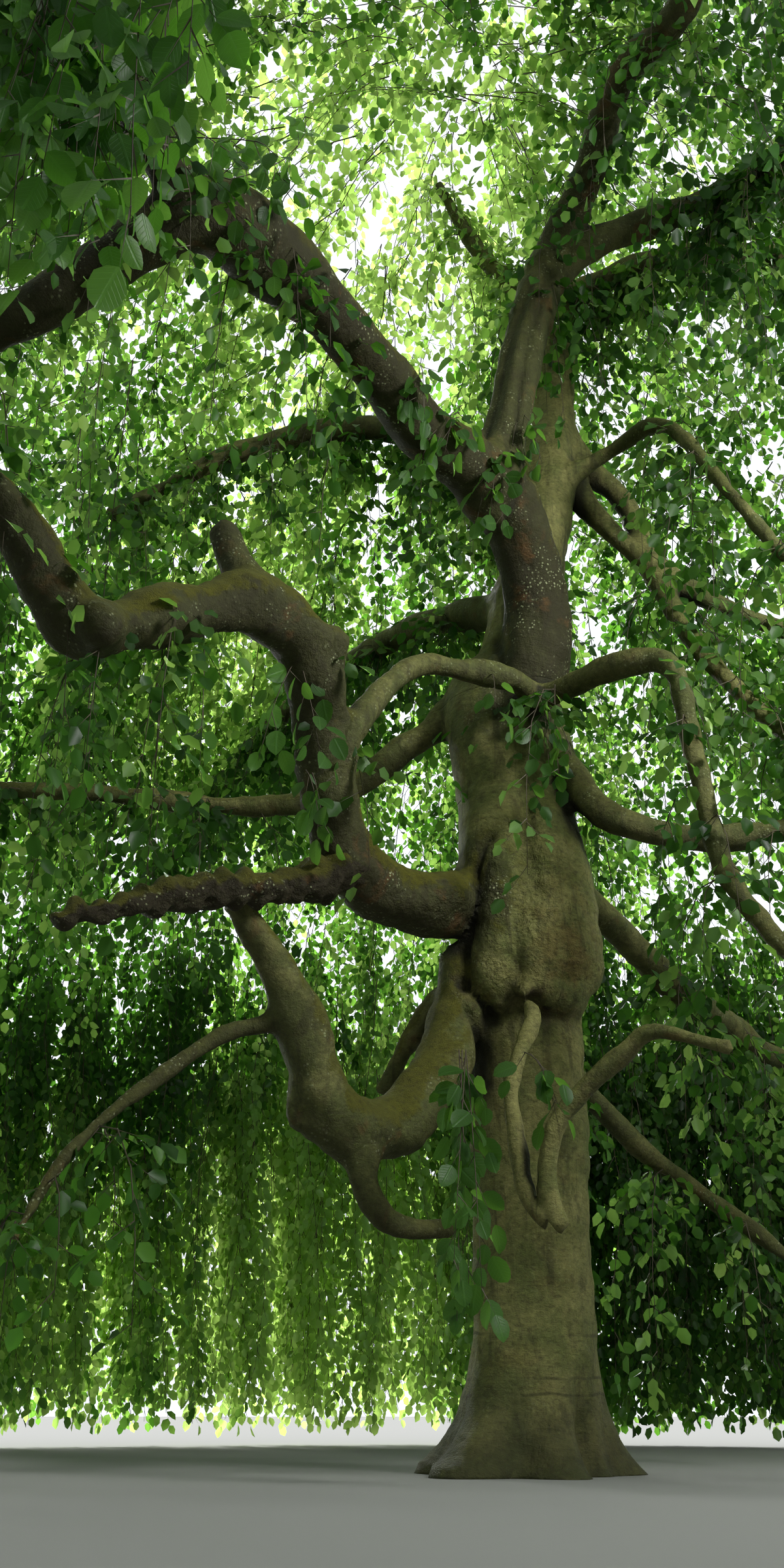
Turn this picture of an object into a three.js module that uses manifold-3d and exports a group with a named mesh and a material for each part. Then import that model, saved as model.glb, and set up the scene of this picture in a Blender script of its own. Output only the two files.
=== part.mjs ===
// Weeping beech: a trunk with a swollen collar, contorted boughs that run out and over, and a crown of
// hanging foliage that makes a tent round the open space under it. Millimetres, +Z up, ground at z = 0.
// The origin is the middle of the flat cut under the trunk, and -Y is the front.

import * as THREE from "three";
import Module from "manifold-3d";

// Driving sizes of the whole tree
const CROWN_RADIUS = 8650; // from the trunk to the outside of the curtain
const CROWN_TOP = 12300; // height of the highest shoots
const CURTAIN_FOOT = 330; // the lowest shoots hang this far over the ground
const CURTAIN_DEPTH = 2300; // from the inside of the curtain to its outside
const WAIST = 4900; // the low curtain ends and the high curtain starts here
const DOME_FOOT = 8300; // the high curtain ends and the dome starts here
const SECTORS = 10; // masses round the low curtain, and again round the high one
const DOME_SECTORS = 5;
const FRONT = (264.8 * Math.PI) / 180; // the middle of the first sector
const FRONT_BULGE = 600; // the crown stands this much further out at the front

// The trunk
const TRUNK_RADIUS = 338;
const COLLAR_RADIUS = 395; // the swelling where the first boughs leave
const COLLAR_HEIGHT = 2780;
const FLARE_RADIUS = 575;
const FLARE_HEIGHT = 560;
const FLARE_ROOTS = 5; // buttresses round the foot

// Joints and foliage
const GAP = 0.3; // clear space between two neighbouring solids
const CUT = 0.45; // a limb is cut back by its neighbour fattened by this much
const STEM_RADIUS = 17;
const TWIG_RADIUS = 11;
const SPRAY_LENGTH = 1750; // a leaf of the solid stands for a whole hanging spray
const SPRAY_WIDTH = 1200;
const SPRAY_THICKNESS = 45;
const SPRAY_SPACING = 1400; // from one spray to the next along a strand
const SPRAY_TURN = 0.9; // how far a spray points to its side
const LIMB_CLEARANCE = 22;
const SMALLEST_EDGE = 1; // shorter edges that a union leaves are closed up

const BARK = 0x6f6752;
const OLD_BARK = 0x5d4f38;
const FOLIAGE = 0x3f6f22;

const wasm = await Module();
wasm.setup();

const v = (x, y, z) => new THREE.Vector3(x, y, z);
const mix = THREE.MathUtils.lerp;

// A repeatable stream of numbers from 0 to 1 for one seed.
function dice(seed) {
  let state = seed >>> 0;
  return () => {
    state = (state + 0x6d2b79f5) >>> 0;
    let t = state;
    t = Math.imul(t ^ (t >>> 15), t | 1);
    t ^= t + Math.imul(t ^ (t >>> 7), t | 61);
    return ((t ^ (t >>> 14)) >>> 0) / 4294967296;
  };
}

// The closed solid of a triangle mesh.
function solid(geometry) {
  const at = geometry.getAttribute("position");
  const index = geometry.index.array;
  const keys = new Map();
  const points = [];
  const place = Array.from({ length: at.count }, (_, i) => {
    const p = [at.getX(i), at.getY(i), at.getZ(i)];
    const key = p.map((c) => Math.round(c * 100)).join(",");
    if (!keys.has(key)) {
      keys.set(key, points.length / 3);
      points.push(...p);
    }
    return keys.get(key);
  });
  const corners = [];
  for (let i = 0; i < index.length; i += 3) {
    const [a, b, c] = [place[index[i]], place[index[i + 1]], place[index[i + 2]]];
    if (a !== b && b !== c && c !== a) corners.push(a, b, c);
  }
  return new wasm.Manifold(new wasm.Mesh({
    numProp: 3,
    vertProperties: new Float32Array(points),
    triVerts: new Uint32Array(corners),
  }));
}

// The largest body of a solid, without the scraps a cut leaves.
function mainBody(shape) {
  return shape.decompose().reduce((best, next) => (next.volume() > best.volume() ? next : best));
}

// A cylinder bent along a curve. radius(share, angle) is its size at each place, and first and last,
// where given, are the directions that its two flat ends face along. It is longer by extra at each end.
function sweep(curve, radius, sides, steps, first, last, extra = 0) {
  const shape = new THREE.CylinderGeometry(1, 1, 1, sides, steps);
  const centres = Array.from({ length: steps + 1 }, (_, i) => curve.getPoint(i / steps));
  const ways = centres.map((_, i) => curve.getTangent(i / steps));
  if (first) ways[0] = first.clone();
  if (last) ways[steps] = last.clone();
  centres[0].addScaledVector(ways[0], -extra);
  centres[steps].addScaledVector(ways[steps], extra);
  const across = [];
  ways.forEach((way, i) => {
    const before = i ? across[i - 1] : Math.abs(way.z) > 0.8 ? v(1, 0, 0) : v(0, 0, 1);
    across.push(before.clone().addScaledVector(way, -before.dot(way)).normalize());
  });
  const at = shape.getAttribute("position");
  for (let i = 0; i < at.count; i++) {
    const ring = Math.round((at.getY(i) + 0.5) * steps);
    const angle = Math.atan2(at.getZ(i), at.getX(i));
    const wide = Math.hypot(at.getX(i), at.getZ(i)) * radius(ring / steps, angle);
    const other = across[ring].clone().cross(ways[ring]);
    const p = centres[ring].clone();
    p.addScaledVector(across[ring], Math.cos(angle) * wide);
    p.addScaledVector(other, Math.sin(angle) * wide);
    at.setXYZ(i, p.x, p.y, p.z);
  }
  return solid(shape);
}

// The place at a share of the way along the straight runs that a sweep in so many steps is made of.
function onRuns(curve, steps, share) {
  const run = Math.min(Math.floor(share * steps), steps - 1);
  return curve.getPoint(run / steps).lerp(curve.getPoint((run + 1) / steps), share * steps - run);
}

const nodes = []; // name, solid and colour of each finished piece
const limbs = []; // the same for the trunk and boughs, with their fattened copies
const samples = []; // balls that fill the limbs, for keeping foliage clear of them

function keepClear(curve, steps, radius) {
  const count = Math.ceil(curve.getLength() / 35);
  for (let i = 0; i <= count; i++)
    samples.push({ p: onRuns(curve, steps, i / count), r: radius(i / count, 0) });
}

// The trunk: its width follows the flare at the foot, the collar and the taper above, and its line
// leans to the right above the collar. Buttresses fade out over the flare.
const trunkLine = new THREE.CatmullRomCurve3([
  v(0, 0, 0), v(55, 0, 900), v(70, 0, 1900), v(90, 0, 2780), v(30, 20, 3800),
  v(30, 50, 4600), v(230, 110, 5500), v(430, 240, 6700), v(520, 320, 7500), v(590, 380, 8250),
]);

function trunkRadius(share, angle, extra = 0) {
  const p = trunkLine.getPoint(share);
  const taper = p.z < 4300 ? TRUNK_RADIUS : mix(TRUNK_RADIUS, 150, (p.z - 4300) / 3950);
  const foot = Math.exp(-p.z / FLARE_HEIGHT * 2.4);
  const lobes = 1 + 0.13 * foot * Math.cos(FLARE_ROOTS * angle + 0.6);
  const swell = Math.exp(-(((p.z - COLLAR_HEIGHT) / 430) ** 2)) * (COLLAR_RADIUS - TRUNK_RADIUS);
  const lip = 1 + 0.06 * Math.exp(-(((p.z - COLLAR_HEIGHT) / 380) ** 2)) * Math.cos(angle * 2 + 1);
  return (taper + (FLARE_RADIUS - TRUNK_RADIUS) * foot) * lobes * lip + swell + extra;
}

function addTrunk() {
  const [foot, tip] = [v(0, 0, 1), trunkLine.getTangent(1)];
  const shape = (extra) =>
    sweep(trunkLine, (s, a) => trunkRadius(s, a, extra), 15, 24, foot, tip, extra);
  keepClear(trunkLine, 24, (s) => trunkRadius(s, 0) * 1.1);
  const body = shape(0);
  limbs.push({ name: "trunk", body, fat: shape(CUT), forks: [], tip: trunkLine.getPoint(1), way: tip });
  nodes.push({ name: "trunk", body, colour: BARK, roughness: 0.8 });
}

// A bough through the given places (metres), from radius to tipRadius (mm). One with a parent runs on
// from the parent's flat end. The others start inside a limb and are cut back clear of every limb.
function bough(name, places, radius, tipRadius, options = {}) {
  const parent = limbs.find((l) => l.name === options.after);
  const points = places.map(([x, y, z]) => v(x * 1000, y * 1000, z * 1000));
  if (parent) points.unshift(parent.tip.clone().addScaledVector(parent.way, GAP));
  const curve = new THREE.CatmullRomCurve3(points);
  const last = curve.getTangent(1);
  const swell = options.swell ?? 0;
  const size = (s, extra = 0) =>
    mix(radius, tipRadius, s ** (options.bend ?? 0.9)) * (1 + swell * Math.sin(Math.PI * s) ** 2) + extra;
  const sides = radius > 150 ? 7 : radius > 80 ? 6 : 5;
  const steps = options.steps ?? Math.max(3, Math.round(curve.getLength() / 600));
  const ends = [parent?.way, last];
  let body = sweep(curve, (s) => size(s), sides, steps, ...ends);
  const fat = sweep(curve, (s) => size(s, CUT), sides, steps, ...ends, CUT);
  const forks = [];
  (options.forks ?? []).forEach(([way, from, to]) => {
    const fork = new THREE.CatmullRomCurve3(way.map(([x, y, z]) => v(x * 1000, y * 1000, z * 1000)));
    const count = Math.max(3, Math.round(fork.getLength() / 400));
    body = body.add(sweep(fork, (s) => mix(from, to, s), 6, count));
    forks.push(sweep(fork, (s) => mix(from, to, s) + CUT, 6, count, undefined, undefined, CUT));
    keepClear(fork, count, (s) => mix(from, to, s));
  });
  limbs.forEach((limb) => {
    if (limb !== parent) body = body.subtract(limb.fat);
    limb.forks.forEach((fork) => (body = body.subtract(fork)));
  });
  body = mainBody(body);
  keepClear(curve, steps, (s) => size(s));
  const piece = { name, body, fat, forks, tip: curve.getPoint(1), way: last, tipRadius };
  limbs.push(piece);
  nodes.push({ name, body, colour: options.colour ?? BARK, roughness: 0.85 });
}

function addBoughs() {
  // the great bough that swings out to the left and the front, and its two arms
  bough("great_bough_root", [[0.3, -0.02, 4.75], [0.2, -0.38, 5.55], [0.0, -0.72, 5.8], [-0.29, -1.05, 5.82]],
    235, 190);
  bough("great_bough_reach", [[-0.6, -1.42, 5.82], [-1.05, -2.2, 5.9], [-1.5, -3.0, 5.72]],
    190, 175, { after: "great_bough_root", swell: -0.12 });
  bough("great_bough_low_arm", [[-1.9, -3.15, 5.5], [-2.7, -3.0, 5.0], [-4.2, -2.4, 4.9],
    [-6.2, -1.45, 5.1]], 125, 48, { after: "great_bough_reach", steps: 9 });
  bough("great_bough_high_arm", [[-1.5, -2.85, 5.7], [-1.95, -3.7, 5.75], [-2.2, -4.9, 6.0],
    [-1.2, -6.6, 5.9]], 105, 48);
  // the serpentine bough, in three runs between its bends
  bough("serpentine_root", [[0.0, 0.0, 3.25], [-0.35, -0.3, 3.1], [-0.75, -0.72, 3.0], [-1.02, -1.05, 3.15]],
    215, 165);
  bough("serpentine_rise", [[-1.1, -1.35, 3.5], [-1.14, -1.62, 3.82], [-1.25, -1.85, 4.06],
    [-1.45, -2.05, 4.1]], 165, 148, {
    after: "serpentine_root",
    swell: -0.08,
    forks: [[[[-1.36, -1.95, 4.05], [-1.5, -2.0, 4.35], [-1.55, -2.02, 4.52]], 95, 70]],
  });
  bough("serpentine_reach", [[-1.72, -2.3, 3.9], [-2.1, -2.7, 3.55], [-2.4, -3.0, 3.55], [-2.9, -3.6, 3.9],
    [-4.1, -4.75, 5.0]], 148, 48, { after: "serpentine_rise", bend: 1.5, steps: 10 });
  // the hook that hangs like a cradle, its spur below and the limb behind it
  bough("cradle_sling", [[-0.1, -0.05, 2.75], [-0.38, -0.2, 2.4], [-0.5, -0.42, 1.95],
    [-0.76, -0.62, 1.67], [-1.06, -0.95, 1.66]], 140, 160, {
    steps: 8,
    forks: [
      [[[-0.86, -0.8, 1.6], [-0.87, -0.86, 1.33], [-0.74, -0.8, 1.18], [-0.44, -0.6, 1.17]], 78, 50],
      [[[-0.42, -0.22, 2.3], [-0.45, 0.1, 2.55], [-0.62, 0.12, 2.35], [-0.78, 0.15, 2.05]], 85, 55],
    ],
  });
  bough("cradle_rise", [[-1.15, -1.07, 1.86], [-1.22, -1.15, 2.18], [-1.36, -1.27, 2.46], [-1.52, -1.4, 2.68]],
    150, 72, { after: "cradle_sling" });
  bough("cradle_side_limb", [[-1.2, -1.13, 2.14], [-1.57, -1.21, 2.05], [-1.88, -1.38, 1.79],
    [-2.2, -1.65, 1.4], [-2.38, -1.84, 0.98]], 55, 18);
  bough("mossy_snag", [[-0.98, -1.0, 3.05], [-1.3, -1.4, 2.74], [-1.7, -1.75, 2.6], [-2.2, -2.35, 2.25]],
    105, 42, { colour: OLD_BARK });
  // slender limbs on the left
  bough("left_far_bough", [[0.0, 0.08, 4.7], [-0.6, 0.23, 4.42], [-1.4, 0.45, 4.07], [-3.4, 0.6, 4.25],
    [-5.9, 2.5, 4.9]], 130, 46, { steps: 11 });
  bough("bridge_limb", [[-1.05, -1.42, 3.42], [-0.92, -1.4, 3.7], [-0.62, -1.06, 4.28], [-0.3, -0.81, 4.41],
    [0.02, -0.63, 4.45]], 85, 64);
  bough("cross_limb_right", [[0.24, -0.44, 4.44], [0.64, -0.92, 4.38], [0.9, -1.13, 4.24], [0.99, -1.15, 3.6],
    [1.1, -1.21, 2.85], [1.6, -1.5, 2.0]], 70, 42, { after: "bridge_limb", steps: 8 });
  bough("upper_left_bough", [[0.4, 0.2, 6.4], [-0.1, 0.58, 7.15], [-0.9, 0.69, 7.52], [-1.9, 0.69, 7.3],
    [-2.9, 0.6, 6.6]], 120, 45);
  // limbs on the right
  bough("right_middle_bough", [[0.2, 0.0, 4.6], [0.36, -0.16, 4.05], [0.7, -0.4, 3.53], [1.65, -0.46, 3.5],
    [3.6, -1.2, 3.9], [5.6, -2.4, 4.85]], 122, 46, { steps: 12 });
  bough("right_low_bough", [[0.2, 0.0, 3.5], [0.76, 0.46, 3.16], [1.52, 1.38, 2.88], [2.6, 2.7, 2.9],
    [4.3, 4.75, 4.7]], 125, 46, { steps: 9 });
  bough("right_foot_limb", [[0.2, 0.1, 2.3], [0.8, 0.9, 1.92], [1.3, 1.15, 1.6], [2.1, 1.15, 1.0]], 75, 30);
  bough("right_high_limb", [[0.45, 0.15, 6.55], [0.9, 0.0, 6.74], [1.19, -0.46, 6.58], [1.38, -1.04, 5.6],
    [1.6, -1.3, 4.9]], 58, 36);
  bough("right_upper_bough", [[0.5, 0.32, 7.0], [0.8, 0.35, 6.4], [1.26, 0.25, 5.8], [2.1, 0.23, 5.3],
    [4.2, 0.8, 4.8], [6.1, 1.4, 4.6]], 80, 42, { steps: 11 });
  bough("right_drooping_bough", [[0.55, 0.36, 7.15], [1.05, 0.42, 6.55], [1.22, 0.23, 5.65],
    [1.44, 0.0, 4.95], [1.85, -0.25, 4.2], [2.6, -0.6, 3.0]], 88, 38);
  // the small limb that hangs from the collar and the cut limb that hooks up from its foot
  bough("hanging_limb", [[0.02, -0.25, 2.6], [0.0, -0.55, 2.4], [-0.08, -0.7, 1.95], [-0.07, -0.75, 1.5],
    [0.01, -0.81, 1.2]], 60, 50);
  bough("hooked_limb", [[0.02, -0.82, 1.1], [0.04, -0.84, 1.42], [0.12, -0.88, 1.66], [0.47, -1.09, 1.98],
    [0.62, -1.2, 2.06], [0.94, -1.38, 1.94]], 55, 40, { steps: 8 });
  // the riser off the great bough and the limbs that reach out high over the front
  bough("riser", [[-0.1, -0.78, 5.82], [0.03, -0.86, 6.2], [0.2, -0.82, 7.05], [0.4, -0.7, 7.8]], 155, 148);
  bough("riser_front_arm", [[0.47, -0.75, 8.0], [0.66, -1.15, 8.25], [0.8, -1.8, 8.4], [1.12, -2.42, 8.35],
    [1.2, -3.6, 8.7]], 125, 60, { after: "riser", steps: 9 });
  bough("riser_right_arm", [[0.37, -0.7, 7.72], [0.74, -0.81, 7.95], [1.7, -1.15, 8.15], [2.7, -2.6, 7.9],
    [3.3, -5.4, 6.9]], 115, 50, { steps: 10 });
  // the leaders and the boughs of the hidden side
  bough("leader_right", [[0.67, 0.42, 8.5], [0.95, 0.35, 8.72], [1.8, 0.12, 8.82], [3.4, 0.5, 8.9],
    [5.6, 1.25, 8.0]], 128, 50, { after: "trunk", steps: 9 });
  bough("leader_top", [[0.58, 0.37, 8.05], [0.5, 0.75, 8.9], [0.1, 1.1, 9.8], [-0.3, 1.0, 10.6]], 120, 62);
  bough("back_left_bough", [[0.2, 0.1, 5.5], [-0.7, 1.6, 6.1], [-2.0, 3.6, 6.2], [-3.25, 5.5, 5.4]], 125, 48);
  bough("back_bough", [[0.4, 0.25, 6.3], [0.5, 2.2, 6.9], [0.6, 4.3, 6.7], [0.6, 6.3, 5.5]], 125, 48);
}

// The crown's outside: its radius at a height, further out at the front.
function crownRadius(z, azimuth) {
  const t = THREE.MathUtils.clamp((z - 3600) / (CROWN_TOP - 3600), 0, 1);
  const under = THREE.MathUtils.clamp((3600 - z) / 3600, 0, 1);
  const ahead = Math.max(0, Math.cos(azimuth - FRONT)) ** 3 * FRONT_BULGE;
  const wave = 1 + 0.035 * Math.sin(3 * azimuth + 1) + 0.03 * Math.sin(5 * azimuth + z / 2600);
  return (CROWN_RADIUS * wave + ahead) * (1 - t ** 2.3) ** 0.5 * (1 - 0.06 * under);
}

// Whether a place lies in a space: its sector, its heights and its distance from the trunk.
function inside(space, p) {
  const distance = Math.hypot(p.x, p.y);
  const azimuth = Math.atan2(p.y, p.x);
  if (p.z < space.low || p.z > space.high) return false;
  const outer = Math.min(crownRadius(p.z, azimuth), space.outer);
  if (distance < space.inner(p.z) || distance > outer) return false;
  const turn = Math.atan2(Math.sin(azimuth - space.azimuth), Math.cos(azimuth - space.azimuth));
  return Math.abs(turn) * distance < space.half * distance - 25;
}

// Whether a spray would come too near a limb: the limb's balls are read in the spray's own axes.
function touchesLimb(matrix, size) {
  const back = matrix.clone().invert();
  return samples.some(({ p, r }) => {
    const q = p.clone().applyMatrix4(back);
    const room = r + LIMB_CLEARANCE;
    return Math.abs(q.x) < size.x + room && Math.abs(q.y) < size.y + room && Math.abs(q.z) < size.z + room;
  });
}

// Whether two solids meet. Their boxes are compared first.
function meets(a, b) {
  const [p, q] = [a.boundingBox(), b.boundingBox()];
  const apart = [0, 1, 2].some((k) => p.min[k] > q.max[k] || q.min[k] > p.max[k]);
  return !apart && !a.intersect(b).isEmpty();
}

// A spray: a blade with a point at its root and its tip and a ridge down its back, wide above its middle.
function blade(size) {
  const shape = new THREE.SphereGeometry(1, 3, 2);
  const at = shape.getAttribute("position");
  for (let i = 0; i < at.count; i++) {
    const [x, y, z] = [at.getX(i), at.getY(i), at.getZ(i)];
    const end = Math.abs(y) > 0.5;
    const ridge = !end && x < -0.9 ? 1 : 0;
    at.setXYZ(i, end || ridge ? 0 : Math.sign(z) * size.x, (end ? y : -0.18) * size.y, ridge * size.z);
  }
  return shape;
}

// One mass: a stem runs on from a bough's flat end through its space, strands leave it, and stem and
// strands carry hanging sprays. Whatever would leave the space or touch a limb is skipped.
function mass(name, limbName, side, space, way, strands, options = {}) {
  const limb = limbs.find((l) => l.name === limbName);
  const random = dice(7 + nodes.length * 137);
  const spread = (half) => (random() * 2 - 1) * half;
  const across = v(0, 0, 1).cross(limb.way).normalize();
  const up = limb.way.clone().cross(across);
  const start = limb.tip.clone().addScaledVector(limb.way, GAP);
  start.addScaledVector(across, side[0] * limb.tipRadius).addScaledVector(up, side[1] * limb.tipRadius);
  const neck = start.clone().addScaledVector(limb.way, 160);
  neck.addScaledVector(across, side[0] * 120).addScaledVector(up, side[1] * 120);
  const line = new THREE.CatmullRomCurve3([start, neck, ...way]);
  const stemSteps = way.length + 3;
  const shares = Array.from({ length: 50 }, (_, k) => 0.15 + k / 60);
  const entry = shares.find((share) => inside(space, onRuns(line, stemSteps, share))) ?? 0.4;
  const rods = [{ curve: line, steps: stemSteps, from: entry + 0.06 }];
  rods[0].body = sweep(line, (s) => mix(STEM_RADIUS, 10, s), 3, stemSteps, limb.way);
  const sprays = [];

  // One spray on a rod. It is tried at a few turns until it cuts nothing but the rod it grows on.
  const spray = (rod, share, hand) => {
    const root = onRuns(rod.curve, rod.steps, share);
    const outward = v(root.x, root.y, 0).normalize();
    for (let attempt = 0; attempt < 8; attempt++) {
      const aside = v(-outward.y, outward.x, 0).multiplyScalar(attempt % 4 < 2 ? hand : -hand);
      const scale = mix(0.75, 1.1, random()) - 0.04 * attempt;
      const long = SPRAY_LENGTH * scale;
      const size = v((SPRAY_WIDTH * scale) / 2, long / 2, SPRAY_THICKNESS);
      const y = rod.curve.getTangent(share).multiplyScalar(options.crest ? 0.8 : 0.3);
      y.z -= options.crest ? 0.15 : 0.6;
      y.addScaledVector(aside, SPRAY_TURN + spread(0.35)).addScaledVector(outward, spread(0.5)).normalize();
      const z = v(root.x, root.y, options.crest ? 6000 : 0).normalize().add(v(spread(0.5), spread(0.5), 0));
      z.addScaledVector(y, -z.dot(y)).normalize();
      const middle = root.clone().addScaledVector(y, long / 2);
      const matrix = new THREE.Matrix4().makeBasis(y.clone().cross(z), y, z).setPosition(middle);
      const shape = blade(size).applyMatrix4(matrix);
      const at = shape.getAttribute("position");
      const corners = Array.from({ length: at.count }, (_, i) => v(at.getX(i), at.getY(i), at.getZ(i)));
      if (!corners.every((p) => inside(space, p)) || touchesLimb(matrix, size)) continue;
      const body = solid(shape);
      if (rods.some((other) => other !== rod && meets(other.body, body))) continue;
      if (sprays.some((other) => meets(other, body))) continue;
      sprays.push(body);
      return;
    }
  };

  strands.forEach(([share, places]) => {
    const root = onRuns(line, stemSteps, entry + share);
    const loose = places.map((p) => p.add(v(spread(150), spread(150), 0)));
    const strand = new THREE.CatmullRomCurve3([root, ...loose]);
    const steps = places.length;
    const run = Array.from({ length: 60 }, (_, k) => onRuns(strand, steps, (k + 1) / 60));
    const clear = run.every((p, k) => (k < 4 || inside(space, p)) &&
      !samples.some((b) => b.p.distanceTo(p) < b.r + LIMB_CLEARANCE * 2));
    if (!clear) return;
    const body = sweep(strand, (s) => mix(TWIG_RADIUS, 7, s), 3, steps);
    rods.push({ curve: strand, steps, from: 0.2, body });
  });
  rods.forEach((rod) => {
    const count = Math.max(1, Math.round((rod.curve.getLength() * (1 - rod.from)) / SPRAY_SPACING));
    for (let i = 0; i < count; i++)
      spray(rod, Math.min(mix(rod.from, 1, (i + 0.5) / count), 0.985), i % 2 ? 1 : -1);
  });

  keepClear(line, stemSteps, (s) => mix(STEM_RADIUS, 10, s));
  const joined = wasm.Manifold.union([...rods.map((rod) => rod.body), ...sprays]);
  const body = mainBody(joined.simplify(SMALLEST_EDGE));
  nodes.push({ name, body, colour: FOLIAGE, roughness: 0.6 });
}

const polar = (distance, azimuth, z) => v(distance * Math.cos(azimuth), distance * Math.sin(azimuth), z);
const onCrown = (azimuth, z, inset) => polar(crownRadius(z, azimuth) - inset, azimuth, z);
const ringInner = (z) => CROWN_RADIUS - CURTAIN_DEPTH - Math.max(0, z - WAIST) * 0.55;

// The curtain: one low and one high mass in each sector, both from the bough that ends in it. Their
// strands fan out from the stem and hang side by side.
const CURTAIN_BOUGHS = [
  ["front", "great_bough_high_arm", "great_bough_high_arm"],
  ["front_left", "serpentine_reach", "serpentine_reach"],
  ["left", "great_bough_low_arm", "great_bough_low_arm"],
  ["back_left_side", "left_far_bough", "left_far_bough"],
  ["back_left", "back_left_bough", "back_left_bough"],
  ["back", "back_bough", "back_bough"],
  ["back_right", "right_low_bough", "right_low_bough"],
  ["right", "right_upper_bough", "leader_right"],
  ["right_front_side", "right_middle_bough", "right_middle_bough"],
  ["front_right", "riser_right_arm", "riser_right_arm"],
];
const STRANDS = [-0.82, -0.42, 0.42, 0.82]; // where the strands hang, as shares of half a sector

function addCurtain() {
  const half = Math.PI / SECTORS;
  CURTAIN_BOUGHS.forEach(([place, lowBough, highBough], i) => {
    const azimuth = FRONT - 2 * i * half;
    const waist = WAIST + (i % 2 ? 350 : -350);
    const low = { azimuth, half, low: CURTAIN_FOOT, high: waist - 20, inner: ringInner, outer: 1e5 };
    const high = { ...low, low: waist + 20, high: DOME_FOOT - 20 };
    const shared = lowBough === highBough;
    const hang = (offset, top, foot, inset) => [
      onCrown(azimuth + offset * half, top, inset),
      onCrown(azimuth + offset * half, mix(top, foot, 0.5), inset * 0.8),
      onCrown(azimuth + offset * half, foot, inset),
    ];
    const foot = (offset) => CURTAIN_FOOT + 420 + 260 * Math.sin(9 * (azimuth + offset));
    const lowStem = hang(0, waist - 450, foot(0) + 250, 480);
    const highStem = [onCrown(azimuth, 7600, 1500), onCrown(azimuth, 8000, 800)];
    highStem.push(...hang(0, 7500, waist + 700, 480));
    const aside = (k) => Math.abs(k - 1.5);
    const lowStrands = STRANDS.map((offset, k) =>
      [0.03 + 0.03 * aside(k), hang(offset, waist - 450, foot(offset), 420)]);
    const highStrands = STRANDS.map((offset, k) =>
      [0.22 + 0.05 * aside(k), hang(offset, 7850, waist + 620, 450)]);
    mass("low_curtain_" + place, lowBough, [0, shared ? -0.55 : 0], low, lowStem, lowStrands);
    mass("high_curtain_" + place, highBough, [0, shared ? 0.55 : 0], high, highStem, highStrands);
  });
}

// The dome over the boughs: one mass to the front from its own arm, the others from the top leader.
const DOME_STEMS = [
  ["front", "riser_front_arm", [0, 0]],
  ["left", "leader_top", [-0.5, -0.35]],
  ["back_left", "leader_top", [-0.5, 0.35]],
  ["back_right", "leader_top", [0.5, 0.35]],
  ["right", "leader_top", [0.5, -0.35]],
];

function addDome() {
  const half = Math.PI / DOME_SECTORS;
  DOME_STEMS.forEach(([place, limb, side], i) => {
    const azimuth = FRONT - Math.PI / SECTORS - 2 * i * half;
    const space = { azimuth, half, low: DOME_FOOT + 20, high: CROWN_TOP, inner: () => 0, outer: 1e5 };
    const ridge = (offset, inset) => [polar(1100, azimuth + offset * half, CROWN_TOP - 250),
      ...[11650, 10900, 9900, 8950].map((z) => onCrown(azimuth + offset * half, z, inset))];
    const strands = STRANDS.map((offset, k) =>
      [0.2 + 0.08 * (k % 2), ridge(offset, 350).slice(Math.abs(offset) < 0.6 ? 1 : 2)]);
    mass("dome_" + place, limb, side, space, ridge(0, 350), strands, { crest: true });
  });
}

// Foliage that hangs inside the tent from the ends of the shorter boughs.
const INNER_STEMS = [
  ["left_high", "upper_left_bough", 4100, 179, 5800, 3600, 8000],
  ["left_low", "cradle_side_limb", 3700, 216, 1800, 800, 2700],
  ["right_high", "right_high_limb", 3000, 318, 4300, 2700, 5600],
  ["right_low", "cross_limb_right", 3200, 312, 1800, 800, 1960],
];

function addInner() {
  INNER_STEMS.forEach(([place, limb, distance, degrees, high, low, ceiling]) => {
    const azimuth = (degrees * Math.PI) / 180;
    const space = { azimuth, half: 0.5, low: Math.max(low - 700, CURTAIN_FOOT), high: ceiling,
      inner: () => distance - 2000, outer: distance + 1500 };
    const hang = (offset, far) =>
      [high, mix(high, low, 0.5), low].map((z) => polar(distance + far, azimuth + offset, z));
    const strands = [[0.05, hang(-0.28, 300)], [0.1, hang(0.28, -250)]];
    mass("inner_" + place, limb, [0, 0], space, hang(0, 0), strands);
  });
}

const group = new THREE.Group();
group.name = "weeping_beech";
addTrunk();
addBoughs();
addCurtain();
addDome();
addInner();

nodes.forEach(({ name, body, colour, roughness }) => {
  const made = body.getMesh();
  const wide = made.numProp;
  const at = new Float32Array(made.numVert * 3);
  for (let i = 0; i < made.numVert; i++) at.set(made.vertProperties.subarray(i * wide, i * wide + 3), i * 3);
  const shape = new THREE.BufferGeometry();
  shape.setAttribute("position", new THREE.BufferAttribute(at, 3));
  shape.setIndex(new THREE.BufferAttribute(made.triVerts, 1));
  shape.computeVertexNormals();
  const look = new THREE.MeshStandardMaterial({ color: colour, roughness, metalness: 0 });
  const mesh = new THREE.Mesh(shape, look);
  mesh.name = name;
  group.add(mesh);
});

export default group;
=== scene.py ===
import math
from collections import namedtuple

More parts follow.
